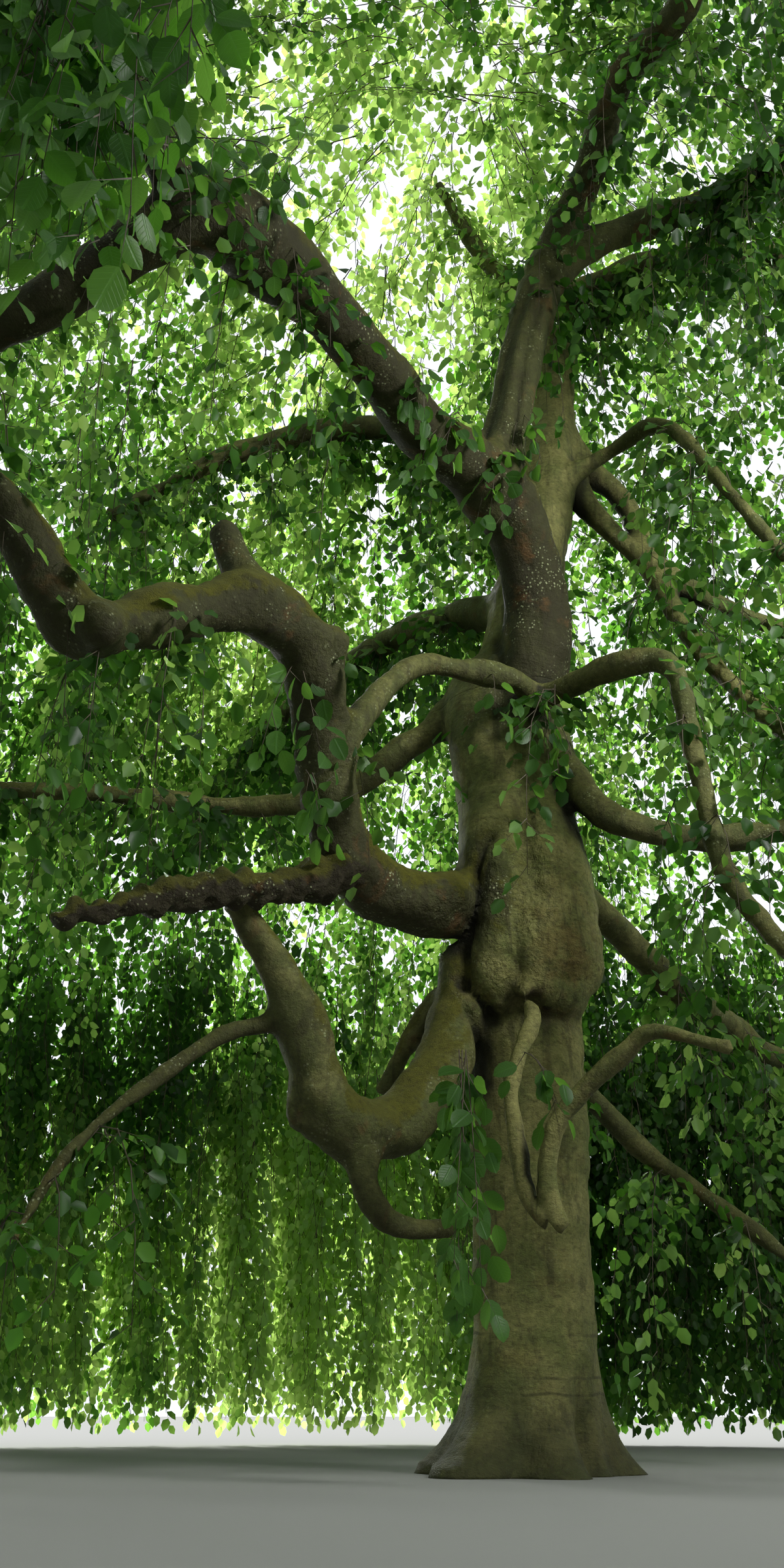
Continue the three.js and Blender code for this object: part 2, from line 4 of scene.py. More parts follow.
import bmesh
import bpy
import numpy as np
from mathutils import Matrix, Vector


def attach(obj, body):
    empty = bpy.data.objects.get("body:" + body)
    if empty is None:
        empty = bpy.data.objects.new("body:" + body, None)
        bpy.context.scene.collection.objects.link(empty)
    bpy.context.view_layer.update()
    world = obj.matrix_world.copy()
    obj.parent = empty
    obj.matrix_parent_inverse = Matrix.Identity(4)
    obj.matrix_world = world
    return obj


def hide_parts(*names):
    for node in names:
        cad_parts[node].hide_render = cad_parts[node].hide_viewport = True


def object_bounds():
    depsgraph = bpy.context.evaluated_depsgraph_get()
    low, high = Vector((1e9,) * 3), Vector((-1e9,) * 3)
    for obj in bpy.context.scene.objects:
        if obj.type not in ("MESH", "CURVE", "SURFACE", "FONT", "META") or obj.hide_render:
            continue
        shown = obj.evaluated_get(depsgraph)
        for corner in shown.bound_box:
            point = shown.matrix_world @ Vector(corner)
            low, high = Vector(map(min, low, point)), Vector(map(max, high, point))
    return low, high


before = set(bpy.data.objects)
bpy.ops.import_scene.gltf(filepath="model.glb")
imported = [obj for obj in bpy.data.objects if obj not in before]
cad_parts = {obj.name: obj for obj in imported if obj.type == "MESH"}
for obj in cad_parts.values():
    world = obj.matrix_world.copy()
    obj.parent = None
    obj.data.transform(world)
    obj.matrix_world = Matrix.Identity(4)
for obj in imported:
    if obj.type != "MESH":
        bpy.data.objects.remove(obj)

CAD_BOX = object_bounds()
TAU = 2 * math.pi
NO_QUADS = np.zeros((0, 4), int)
NO_TRIANGLES = np.zeros((0, 3), int)
UP = np.array([0, 0, 1.0])

# The crown, by the same sizes as the solids
CROWN_RADIUS = 8.65
CROWN_TOP = 12.3
CROWN_SIDE = 3.6  # the height up to which its side stands
CROWN_OVAL = 2.3  # how full the oval over the side is
CROWN_WAVES = [(0.035, 3, 0, 1), (0.03, 5, 1 / 2.6, 0)]  # depth, number round, turn by the metre up, start
SIDE_DRAWN_IN = 0.06  # how much narrower the side is at the ground
CURTAIN_FOOT = 0.33
FRONT = math.radians(264.8)
FRONT_BULGE = 0.6
CROWN_MARGIN = 0.15  # strands stay this far inside the crown's outside
TWIG_MARGIN = 0.1  # and twigs this far
TOP_MARGIN = 0.25  # and twigs this far under its top
TWIG_FOOT = 0.17  # the lowest that a twig reaches
LEAF_FOOT = 0.02  # the lowest that a leaf reaches
BOX_MARGIN = 0.05  # how far strands, twigs and leaf tips stay inside the solids' box

# The trunk
TRUNK_RADIUS = 0.338
NECK_RADIUS = 0.25  # above the shoulder, behind the great bough
TRUNK_TOP_RADIUS = 0.15
TRUNK_TAPER = [(4.3, TRUNK_RADIUS), (5.0, NECK_RADIUS), (8.25, TRUNK_TOP_RADIUS)]  # height and radius
COLLAR_HEIGHT = 2.78
COLLAR_REACH = 0.43  # how far above and below that height the trunk swells
COLLAR_SWELL = 0.0114  # how far the trunk itself swells under the collar's lobes
FLARE_RADIUS = 0.575
FLARE_HEIGHT = 0.56
FLARE_FALL = 2.4  # how fast the flare dies away over its height
FLUTES_FROM = 4.6  # the height where the upper trunk's flutes begin
FLUTES_RISE = 1.6  # how much higher they are full
BELOW_GROUND = 0.12  # the trunk's skin is worked out to here, then cut flat at the ground

# Waves round the trunk at its foot, high up and everywhere: depth, number round, turn by the metre up, start
FOOT_WAVES = [(0.075, 5, 0, 0.6), (0.012, 9, 2, 0)]
FLUTES = [(0.022, 3, 0.35, 0)]
DENTS = [(0.004, 4, 0.5, 1.3)]

# Single forms round the foot: direction and width in degrees, the height over which they fade, how far out
FOOT_FORMS = [(52, 11, 0.34, -0.15), (133, 22, 0.3, 0.05), (160, 9, 0.4, -0.045)]

# The floor under the tree
FLOOR_SIZE = 400
FLOOR_COLOUR = (0.25, 0.25, 0.24)

# Where the tree is seen from
EYE = np.array([-0.73, -8.0, 0.29])
EYE_TILT = math.radians(25.0)
PICTURE_WIDTH, PICTURE_HEIGHT = 1200.0, 2400.0
FOCAL_LENGTH = 2069.0  # in the same unit as the picture's height
FOCAL_SHARE = FOCAL_LENGTH / PICTURE_HEIGHT
PICTURE_ASPECT = PICTURE_WIDTH / PICTURE_HEIGHT
SENSOR = 36.0

# What stays clear of foliage, apart from the sprays at the upper left
NEAR_CLEAR = 5.2  # metres ahead of the eye
EYE_ROOM = 1.3  # metres round the eye
VIEW_MARGIN = 1.15  # how far the view reaches, where 1 is the picture's edge
CLEAR_ACROSS, CLEAR_UP = 1.12, 1.08  # how far beside and above the picture, where its edge is 1
CLEAR_BEHIND = 0.3  # metres behind the eye

# Bark
SKIN_CELL = 0.026  # size of the skin's faces
SKIN_SIDES = 20  # sides of the rough tubes that the skin starts from
SKIN_STEPS = (1.0, 1.0, 1.0, 0.8)  # shares of the way to the finished bark that its points move each time
LONGEST_STEP = 0.08
SKIN_SPLIT = 4.6  # height at which the skin is cut into two pieces
LIMB_BLEND = 0.045  # how softly two limbs run into each other
FOLD_BLEND = 0.026  # how softly a fold sits on them
LIMB_MARGIN = 0.3  # how far from its skin a limb is still measured
RUN_REACH = 0.035  # how far past a point of its line a limb's run is read
MOSS_ANYWHERE = 0.15
MOSS_LUMPS = 1.4  # how much more uneven mossy bark is
FOLD_BOX = ((-0.7, -0.9, 1.9), (0.9, 0.6, 3.9))  # the part of the trunk that has folds
CREASE_MARGIN = 0.2
AT_A_TIME = 10000  # points measured in one go
RINGS_CLOSER = 15.0  # how much closer the bark's fine lines are along a limb than round it

# The bark's unevenness: height, size and seed of its lumps
BARK_LUMPS = [(0.008, 0.55, 3), (0.003, 0.2, 4), (0.0015, 0.09, 5)]
SNAG_LUMPS = [(0.0128, 0.55, 3), (0.0048, 0.2, 4), (0.0024, 0.09, 5), (0.016, 0.16, 8), (0.009, 0.06, 9)]

# What the bark's material reads: places as a centre, half sizes and strength
RUGGED_PLACES = [((0.08, -0.3, 3.0), (0.55, 0.45, 0.75), 1.0), ((-0.5, -0.45, 3.0), (0.45, 0.5, 0.4), 0.8)]
BLUSH_CENTRE, BLUSH_SIZE = (0.3, -0.42, 2.72), (0.22, 0.3, 0.36)
ROOM_MEASURED = ((0.05, 0.55), (0.16, 0.45))  # metres out of the bark, and its share in how sunk it is, which sets the painted shade in hollows
FULLY_PRESSED = 0.075  # depth of a crease that gets the full painted shade along creases
LEADER_AXIS, LEADER_REACH = (0.4, 0.2), 0.5
LEADER_PALER = 0.45  # how much less brown the leader gets
PALER_FROM, PALER_RISE = 5.0, 1.5  # the height where that begins, and how much higher it is full

# Strands and twigs
TWIG_RADIUS = 0.003
TWIG_SPREAD = 0.7  # how unevenly twigs leave their strand, in radians
TWIG_TURN = 2.4  # turn from one strand's twigs to the next strand's
TWIG_FORWARD = 0.35  # how much twigs lean along their strand
TWIG_SHORTER = 0.4  # how much shorter they are at its tip
STRAND_TIP = 0.35  # thickness of a strand's tip as a share of its foot's
SHOOT_SPREAD = 0.35  # how far a limb's shoots go aside, as a share of their length

# Leaves
LEAF_WIDTH = 0.74
LEAF_SPACING = 0.56  # from one leaf to the next along a twig, as a share of a leaf's length
LEAF_SIZES = (0.68, 1.12)  # shares of the given length between which leaves vary
LEAF_TILT, LEAF_UNEVEN, LEAF_STRAY = 0.5, 0.38, 0.2  # how much upper sides and directions vary
LEAF_OUTWARD = 0.08  # how much upper sides turn outwards, by the metre from the axis
LEAF_HANG = 0.45
END_LEAF = 0.93  # the share of a twig from which a leaf lies straight ahead
STRAND_TONE, TWIG_TONE = 0.5, 0.4  # how much the tone varies from strand to strand and from twig to twig
TINTS = 6

# Strands of the curtain
CURTAIN_SHORTEST = 0.8
CURTAIN_SWAY = 0.016  # how far they sway round the axis, in radians
CURTAIN_LEAN = 0.25  # how much further in than their feet their tops are

# Strands of the dome
DOME_REACH = 8.0  # how far from the axis the last ones start
DOME_ACROSS = 0.4  # how far across the axis the first ones start
DOME_LENGTHS = (0.8, 1.7)
DOME_SHORTER = 0.09  # how much shorter they get, by the metre from the axis
DOME_SWAY = 0.05
DOME_COVER = 0.3  # how far under the crown's outside they stay
DOME_HANG = 0.5  # how much lower their tips are
DOME_THIN, DOME_THIN_SHARE = 2.2, 0.45  # how far round the sunlit top strands are left out, and their share

# Strands inside the tent
INNER_HALF = 0.46  # half the width of their part of the ring, in radians
INNER_TOPS, INNER_FEET = 0.35, 0.3  # how uneven their tops and feet are, as shares of their height
INNER_SWAY = 0.06

# Shoots on limbs, and near the eye
SHOOT_LENGTHS = (0.3, 1.4)
SHOOT_FOOT = 0.25  # how far over the curtain's foot they end
SHOOT_LIFT = 0.12
SHOOTS_USUAL = 12  # how many a limb carries by the metre
SHOOTS_OVER = CURTAIN_FOOT + 0.6  # the lowest part of a limb that carries them
SHOOTS_FROM, SPARSE_FROM = 0.15, 0.3  # from which share of its length a limb carries them, and a sparse one
FAR_EACH = 4  # out of the picture only each fourth grows
CLUSTER_TOP, CLUSTER_FOOT = 0.025, 0.07  # how far apart the shoots of a cluster are at their tops and feet
CLUSTER_BOW = np.array([0, -0.06, 0.05])
# How much lighter the sprays in front of the limbs are painted, as painted light
CLUSTER_SHADE = 0.7
NEAR_DEPTH = 0.15
NEAR_SWAY = 0.05
NEAR_VIEW = 1.1  # how far beside the picture near shoots grow, where its edge is 1

# How far twigs and leaves keep off the limbs, and where limbs are looked for
TWIG_GAP, LEAF_GAP = 0.02, 0.01
LIMBS_OUT, LIMBS_UP = 6.6, 9.2

# Light on the crown
DOME_LIGHT = np.array([-0.9, 1.8, 11.2])  # middle of the sunlit top of the crown: dome strands are thinned round it, and its sprays are painted lighter
# How far round that middle the painted light on the sprays reaches, and how much lighter it paints them
DOME_LIGHT_SIZE, DOME_LIGHTER = 2.4, 0.7
LOW_LIGHT = np.array([-1.9, 8.2, 2.2])  # where it reaches the curtain low behind the trunk
OUTER_THIN, OUTER_THIN_SHARE = 2.6, 0.65

# Painted sunlit and shaded patches on the curtain: how much lighter (darker where below 0), and the azimuth,
# height, half width in radians and half height
SUN_AND_SHADE_PATCHES = [(1.0, (1.76, 1.7, 0.22, 2.0)), (0.45, (2.0, 8.4, 0.24, 1.7)), (-0.05, (1.22, 2.6, 0.24, 2.4)),
                (0.4, (2.2, 1.6, 0.22, 1.6)), (-0.35, (2.15, 4.6, 0.2, 1.3))]

CROWN_SEED = 20  # of all random draws in the foliage

# The kinds of foliage: in the picture, out of it, in front of the limbs, and near the eye
KINDS = ("seen", "far", "close", "near")

# What strands carry: metres between twigs, lengths of the twigs, length of the leaves, radius of the strand,
# and how much the twigs droop
Sprays = namedtuple("Sprays", "gap reach leaf rod droop", defaults=[(0.3, 0.9)])
LOW_SPRAYS = Sprays(gap=0.1, reach=(0.2, 0.42), leaf=0.112, rod=0.005, droop=(0.8, 2.0))
HIGH_SPRAYS = Sprays(gap=0.11, reach=(0.26, 0.5), leaf=0.113, rod=0.006)
DOME_SPRAYS = Sprays(gap=0.11, reach=(0.28, 0.5), leaf=0.118, rod=0.007)
OUTER_SPRAYS = Sprays(gap=0.15, reach=(0.3, 0.5), leaf=0.14, rod=0.006, droop=(0.5, 1.4))
FAR_CURTAIN_SPRAYS = Sprays(gap=0.18, reach=(0.34, 0.6), leaf=0.2, rod=0.007, droop=(0.5, 1.4))
FAR_DOME_SPRAYS = Sprays(gap=0.18, reach=(0.34, 0.6), leaf=0.2, rod=0.007)
INNER_SPRAYS = Sprays(gap=0.1, reach=(0.2, 0.42), leaf=0.108, rod=0.005, droop=(0.6, 1.6))
LIMB_SPRAYS = Sprays(gap=0.11, reach=(0.2, 0.42), leaf=0.108, rod=0.005)
FAR_LIMB_SPRAYS = Sprays(gap=0.13, reach=(0.25, 0.5), leaf=0.14, rod=0.005)
CLUSTER_SPRAYS = Sprays(gap=0.12, reach=(0.12, 0.3), leaf=0.13, rod=0.004, droop=(0.6, 1.8))
NEAR_SPRAYS = Sprays(gap=0.13, reach=(0.18, 0.36), leaf=0.115, rod=0.004, droop=(0.5, 1.5))
NEAREST_SPRAYS = Sprays(gap=0.12, reach=(0.18, 0.36), leaf=0.115, rod=0.004, droop=(0.5, 1.5))


# Lines, and what is carried along them

def unit(vectors):
    """Each vector divided by its length."""
    return vectors / np.maximum(np.linalg.norm(vectors, axis=-1, keepdims=True), 1e-9)


def spline(knots, step=0.04):
    """A smooth line through knots (rows of x, y, z and radius). Between two knots each value is the cubic
    whose slopes are half the difference of the neighbours on both sides."""
    knots = np.asarray(knots, float)
    ends = np.vstack([2 * knots[0] - knots[1], knots, 2 * knots[-1] - knots[-2]])
    rows = []
    for i in range(len(knots) - 1):
        before, start, end, after = ends[i:i + 4]
        count = max(2, int(np.linalg.norm(end[:3] - start[:3]) / step))
        t = (np.arange(count) / count)[:, None]
        slope_in, slope_out = (end - before) / 2, (after - start) / 2
        rows.append((2 * t**3 - 3 * t**2 + 1) * start + (t**3 - 2 * t**2 + t) * slope_in
                    + (3 * t**2 - 2 * t**3) * end + (t**3 - t**2) * slope_out)
    return np.vstack(rows + [knots[-1:]])


def frames_along(centres):
    """The direction of a line at each point, and two directions across it that turn as little as possible."""
    along = unit(np.gradient(centres, axis=0))
    across = np.zeros_like(centres)
    side = np.array([1.0, 0, 0]) if abs(along[0, 2]) > 0.8 else np.array([0, 0, 1.0])
    for i, way in enumerate(along):
        side = unit(side - way * side.dot(way))
        across[i] = side
    return along, across, np.cross(across, along)


def tube(line, sides, relief=None):
    """A skin round a line of centres and radii: the point at share s and angle a is the centre at s plus the
    radius there times cos a and sin a across the line. relief(points) moves each point out by that much. Its
    ends close in a point."""
    centres, radii = line[:, :3], line[:, 3]
    along, across, other = frames_along(centres)
    angle = np.arange(sides) / sides * TAU
    rim = np.cos(angle)[:, None] * across[:, None] + np.sin(angle)[:, None] * other[:, None]
    skin = centres[:, None] + rim * radii[:, None, None]
    if relief is not None:
        skin = skin + rim * relief(skin.reshape(-1, 3)).reshape(len(line), sides, 1)
    ring, turn = np.meshgrid(np.arange(len(line) - 1), np.arange(sides), indexing="ij")
    here, beside = ring * sides + turn, ring * sides + (turn + 1) % sides
    quads = np.stack([here, here + sides, beside + sides, beside], -1).reshape(-1, 4)
    turns = np.arange(sides)
    after = (turns + 1) % sides
    top = (len(line) - 1) * sides
    first, last = len(line) * sides, len(line) * sides + 1
    low_cap = np.stack([turns * 0 + first, turns, after], -1)
    high_cap = np.stack([turns * 0 + last, top + after, top + turns], -1)
    tips = np.stack([centres[0] - along[0] * radii[0] * 0.3, centres[-1] + along[-1] * radii[-1] * 0.3])
    return np.vstack([skin.reshape(-1, 3), tips]), quads, np.vstack([low_cap, high_cap])


def joined(parts):
    """Several sets of points, four-sided and three-sided faces put together as one."""
    points, quads, triangles, count = [], [], [], 0
    for part in parts:
        points.append(part[0])
        quads.append(np.asarray(part[1], int).reshape(-1, 4) + count)
        triangles.append(np.asarray(part[2], int).reshape(-1, 3) + count)
        count += len(part[0])
    return np.vstack(points), np.vstack(quads), np.vstack(triangles)


def placed(name, data):
    """An object of the scene, at the origin, from a mesh, a light or a camera."""
    thing = bpy.data.objects.new(name, data)
    bpy.context.scene.collection.objects.link(thing)
    return thing


def make_piece(name, points, quads, triangles, material=None, smooth=True):
    """A mesh object at the origin from arrays of points and faces."""
    quads = np.asarray(quads, np.int32).reshape(-1, 4)
    triangles = np.asarray(triangles, np.int32).reshape(-1, 3)
    corners = np.concatenate([quads.ravel(), triangles.ravel()]).astype(np.int32)
    sizes = np.concatenate([np.full(len(quads), 4), np.full(len(triangles), 3)]).astype(np.int32)
    mesh = bpy.data.meshes.new(name)
    mesh.vertices.add(len(points))
    mesh.vertices.foreach_set("co", np.asarray(points, np.float32).ravel())
    mesh.loops.add(len(corners))
    mesh.loops.foreach_set("vertex_index", corners)
    mesh.polygons.add(len(sizes))
    mesh.polygons.foreach_set("loop_start", np.concatenate([[0], np.cumsum(sizes)[:-1]]).astype(np.int32))
    mesh.polygons.foreach_set("use_smooth", np.full(len(sizes), smooth))
    mesh.update(calc_edges=True)
    if material is not None:
        mesh.materials.append(material)
    return placed(name, mesh)


def give(piece, **traits):
    """Numbers for each point of a piece, which its material reads by name."""
    for name, values in traits.items():
        numbers = np.full(len(piece.data.vertices), values, np.float32)
        piece.data.attributes.new(name, "FLOAT", "POINT").data.foreach_set("value", numbers)


def waves(points, size, seed, count=7):
    """Soft lumps without a grid: the sum of sine waves about size long, whose directions and starts are drawn
    by seed, over the root of their count. It runs from about -1 to 1."""
    draw = np.random.default_rng(seed)
    ways = unit(draw.normal(size=(count, 3))) * TAU / (size * draw.uniform(0.7, 1.4, (count, 1)))
    starts = draw.uniform(0, TAU, count)
    return np.sin(points @ ways.T + starts).sum(1) / math.sqrt(count)


def lumps(points, forms):
    """Unevenness of several sizes: the sum of each form's height times its waves."""
    return sum(height * waves(points, size, seed) for height, size, seed in forms)


def bell(points, centre, sizes, power=2):
    """1 at a centre and falling off round it: the exponential of minus the summed powers of the distance
    along each axis over its size."""
    return np.exp(-(np.abs((points - np.array(centre)) / np.array(sizes)) ** power).sum(1))


# The trunk and boughs: rows of x, y, z and radius

TRUNK_LINE = [(0, 0, 0), (0.055, 0, 0.9), (0.07, 0, 1.9), (0.09, 0, 2.78), (0.03, 0.02, 3.8),
              (0.03, 0.05, 4.6), (0.23, 0.11, 5.5), (0.43, 0.24, 6.7), (0.52, 0.32, 7.5), (0.59, 0.38, 8.25)]

# Limbs whose skin runs into the trunk's and each other's. The last number is how brown and dark the bark is
# painted: partly its own brown, partly painted shade on limbs in the shade under the crown, which have the
# highest numbers.
THICK_LIMBS = {
    "great_bough": ([(.08, -.1, 4.45, .24), (.2, -.2, 4.8, .235), (.26, -.3, 5.15, .215),
                     (.17, -.47, 5.52, .205), (0, -.72, 5.8, .205), (-.29, -1.05, 5.82, .195),
                     (-.6, -1.42, 5.82, .168), (-1.05, -2.2, 5.9, .16), (-1.5, -3.0, 5.72, .185),
                     (-1.9, -3.15, 5.5, .14), (-2.7, -3, 5, .11), (-4.2, -2.4, 4.9, .08),
                     (-6.2, -1.45, 5.1, .048)], 1.25),
    "shoulder": ([(-.02, .0, 4.25, .3), (-.1, .02, 4.52, .27), (-.11, .03, 4.72, .2)], 0.3),
    "great_high_arm": ([(-1.3, -2.5, 5.85, .11), (-1.5, -2.85, 5.7, .11), (-1.95, -3.7, 5.75, .09),
                        (-2.2, -4.9, 6, .07), (-1.2, -6.6, 5.9, .048)], 1.3),
    "great_knot": ([(-.12, -.85, 5.85, .13), (-.2, -.93, 5.98, .11)], 0.6),
    "serpentine": ([(.12, .12, 3.3, .2), (-.2, -.16, 3.17, .205), (-.44, -.42, 3.05, .205),
                    (-.75, -.72, 3, .18), (-1.02, -1.05, 3.15, .165), (-1.1, -1.35, 3.5, .145),
                    (-1.14, -1.62, 3.82, .14), (-1.25, -1.85, 4.06, .145), (-1.45, -2.05, 4.1, .15),
                    (-1.72, -2.3, 3.9, .142), (-2.1, -2.7, 3.55, .138), (-2.28, -2.87, 3.66, .134),
                    (-2.42, -3.02, 3.9, .128), (-2.85, -3.5, 4.3, .1), (-4.1, -4.75, 5, .048)], 1.1),
    "serpentine_stub": ([(-1.36, -1.95, 4.05, .11), (-1.54, -2, 4.36, .092), (-1.62, -2.02, 4.56, .08)], 1.0),
    "serpentine_nub": ([(-1.14, -1.68, 3.9, .1), (-1.03, -1.75, 4.06, .07)], 1.0),
    "serpentine_lump": ([(-2.02, -2.78, 3.5, .1), (-2.0, -2.93, 3.42, .09)], 1.0),
    "cradle": ([(-.1, -.1, 2.8, .16), (-.36, -.22, 2.4, .15), (-.5, -.42, 1.98, .165),
                (-.76, -.62, 1.69, .165), (-1.06, -.95, 1.69, .15), (-1.15, -1.07, 1.9, .132),
                (-1.22, -1.15, 2.18, .12), (-1.36, -1.27, 2.46, .1), (-1.52, -1.4, 2.68, .07)], 0.45),
    "cradle_heel": ([(-1.1, -.98, 1.72, .11), (-1.22, -1.04, 1.67, .06)], 0.45),
    "cradle_spur": ([(-.86, -.8, 1.62, .1), (-.87, -.86, 1.4, .072), (-.78, -.83, 1.22, .064),
                     (-.62, -.72, 1.16, .06), (-.44, -.6, 1.17, .05)], 0.75),
    "cradle_back": ([(-.3, -.12, 2.6, .1), (-.45, .06, 2.55, .085), (-.62, .12, 2.35, .07),
                     (-.78, .15, 2.05, .05)], 0.5),
    "left_far": ([(0, .08, 4.75, .16), (-.35, .16, 4.6, .12), (-.6, .23, 4.42, .1), (-1.4, .45, 4.07, .07),
                  (-3.4, .6, 4.25, .06), (-5.9, 2.5, 4.9, .046)], 0.3),
    "right_middle": ([(.2, 0, 4.75, .15), (.3, -.08, 4.4, .12), (.38, -.18, 4.05, .1), (.7, -.4, 3.57, .085),
                      (1.65, -.46, 3.5, .08), (3.6, -1.2, 3.9, .065), (5.6, -2.4, 4.85, .046)], 0.6),
    "right_low": ([(.2, 0, 3.5, .16), (.5, .22, 3.3, .125), (.76, .46, 3.16, .105), (1.52, 1.38, 2.88, .095),
                   (2.6, 2.7, 2.9, .075), (4.3, 4.75, 4.7, .046)], 0.35),
    "riser": ([(-.12, -.78, 5.7, .17), (.0, -.86, 6.1, .152), (.2, -.82, 7.05, .15), (.4, -.7, 7.8, .148),
               (.47, -.75, 8, .125), (.66, -1.15, 8.25, .115), (.8, -1.8, 8.4, .11), (1.12, -2.42, 8.35, .1),
               (1.2, -3.6, 8.7, .06)], 0.85),
    "riser_right": ([(.37, -.7, 7.72, .13), (.74, -.81, 7.95, .11), (1.7, -1.15, 8.15, .09),
                     (2.7, -2.6, 7.9, .07), (3.3, -5.4, 6.9, .05)], 0.6),
    "leader_right": ([(.52, .32, 7.6, .15), (.59, .38, 8.25, .14), (.67, .42, 8.5, .125),
                      (.95, .35, 8.72, .1), (1.8, .12, 8.82, .09), (3.4, .5, 8.9, .07),
                      (5.6, 1.25, 8, .05)], 0.3),
    "leader_top": ([(.58, .37, 8.05, .13), (.5, .75, 8.9, .1), (.1, 1.1, 9.8, .08),
                    (-.3, 1, 10.6, .05)], 0.3),
    "upper_left": ([(.4, .2, 6.35, .14), (.15, .4, 6.85, .115), (-.1, .58, 7.15, .11), (-.9, .69, 7.52, .1),
                    (-1.9, .69, 7.3, .085), (-2.9, .6, 6.6, .045)], 0.35),
    "bridge": ([(-1.07, -1.36, 3.38, .1), (-1.02, -1.42, 3.55, .082), (-.92, -1.4, 3.75, .072),
                (-.62, -1.06, 4.28, .064), (-.3, -.81, 4.41, .064), (.02, -.63, 4.45, .068),
                (.24, -.44, 4.44, .072), (.64, -.92, 4.38, .068), (.9, -1.13, 4.24, .072),
                (.99, -1.15, 3.6, .058), (1.1, -1.21, 2.85, .055), (1.6, -1.5, 2, .042)], 0.5),
    "hanging": ([(.02, -.3, 2.6, .075), (.03, -.48, 2.46, .062), (.06, -.58, 2.3, .053),
                 (-.04, -.66, 2.05, .049), (-.09, -.7, 1.85, .046), (-.07, -.74, 1.6, .046),
                 (-.06, -.78, 1.42, .043), (-.03, -.82, 1.28, .038), (.02, -.85, 1.2, .03),
                 (.06, -.87, 1.15, .015)], -0.5),
    "hooked": ([(.14, -.9, 1.15, .03), (.09, -.89, 1.25, .046), (.07, -.89, 1.46, .05),
                (.14, -.92, 1.68, .05), (.3, -.99, 1.85, .051), (.47, -1.09, 1.98, .05),
                (.62, -1.2, 2.06, .045), (.94, -1.38, 1.94, .038)], 0.0),
    "right_foot": ([(.2, .1, 2.3, .09), (.8, .9, 1.92, .062), (1.3, 1.15, 1.6, .05),
                    (2.1, 1.15, 1, .03)], 0.5),
    "side_limb": ([(-1.18, -1.11, 2.12, .07), (-1.3, -1.15, 2.12, .05), (-1.57, -1.21, 2.05, .042),
                   (-1.88, -1.38, 1.79, .034), (-2.2, -1.65, 1.4, .026), (-2.38, -1.84, .98, .018)], 0.8),
    "right_upper": ([(.5, .32, 7.05, .1), (.65, .34, 6.7, .085), (.8, .35, 6.4, .075), (1.26, .25, 5.8, .066),
                     (2.1, .23, 5.3, .06), (4.2, .8, 4.8, .05), (6.1, 1.4, 4.6, .042)], 0.3),
    "right_drooping": ([(.52, .34, 7.2, .11), (.8, .4, 6.85, .09), (1.05, .42, 6.55, .08),
                        (1.22, .23, 5.65, .074), (1.44, 0, 4.95, .064), (1.85, -.25, 4.2, .054),
                        (2.6, -.6, 3, .038)], 0.3),
    "right_high": ([(.45, .15, 6.5, .07), (.9, 0, 6.74, .052), (1.19, -.46, 6.58, .055),
                    (1.38, -1.04, 5.6, .048), (1.6, -1.3, 4.9, .036)], 0.4),
    "back_left": ([(.2, .1, 5.45, .14), (-.7, 1.6, 6.1, .1), (-2, 3.6, 6.2, .075),
                   (-3.25, 5.5, 5.4, .048)], 0.4),
    "back": ([(.4, .25, 6.25, .14), (.5, 2.2, 6.9, .1), (.6, 4.3, 6.7, .075), (.6, 6.3, 5.5, .048)], 0.4),
}

# The dead branch is a piece of its own
# The snag's brown number also paints it darker, as painted shade like the limbs'
SNAG_AGE, SNAG_BROWN_AND_SHADE, SNAG_DAMP, SNAG_RUGGED = 0.5, 1.4, 0.75, 0.6
SNAG_SIDES, SNAG_STEP = 32, 0.012
SNAG = [(-.95, -.97, 3.08, .13), (-1.1, -1.15, 2.93, .12), (-1.3, -1.4, 2.77, .105),
        (-1.7, -1.75, 2.62, .088), (-2.2, -2.35, 2.27, .045)]

# How mossy a limb is, where that is more than a little
MOSSY = {"serpentine": 1.0, "cradle": 0.8, "cradle_heel": 0.8, "cradle_back": 0.8, "great_bough": 0.5,
         "left_far": 0.4, "right_low": 0.5, "trunk": 0.25}

# The collar's lobes, as lines of centres and radii that stand out of the trunk and end in a blunt lip
FOLDS = [
    [(.12, .0, 4.2, .14), (.17, -.08, 3.8, .24), (.2, -.15, 3.4, .275), (.205, -.18, 2.95, .3),
     (.215, -.21, 2.72, .295), (.225, -.24, 2.6, .25), (.235, -.26, 2.53, .16)],
    [(-.04, -.08, 4.1, .12), (-.07, -.18, 3.7, .2), (-.1, -.26, 3.3, .2), (-.115, -.3, 2.85, .18),
     (-.11, -.31, 2.62, .155), (-.1, -.3, 2.47, .08)],
    [(.36, -.14, 3.2, .11), (.38, -.16, 2.75, .14), (.37, -.18, 2.56, .115), (.36, -.18, 2.46, .06)],
    [(.05, -.3, 3.0, .1), (.1, -.38, 2.75, .11), (.15, -.38, 2.56, .1), (.17, -.37, 2.44, .05)],
    [(-.3, -.2, 2.75, .12), (-.3, -.26, 2.58, .11), (-.26, -.3, 2.45, .06)],
]

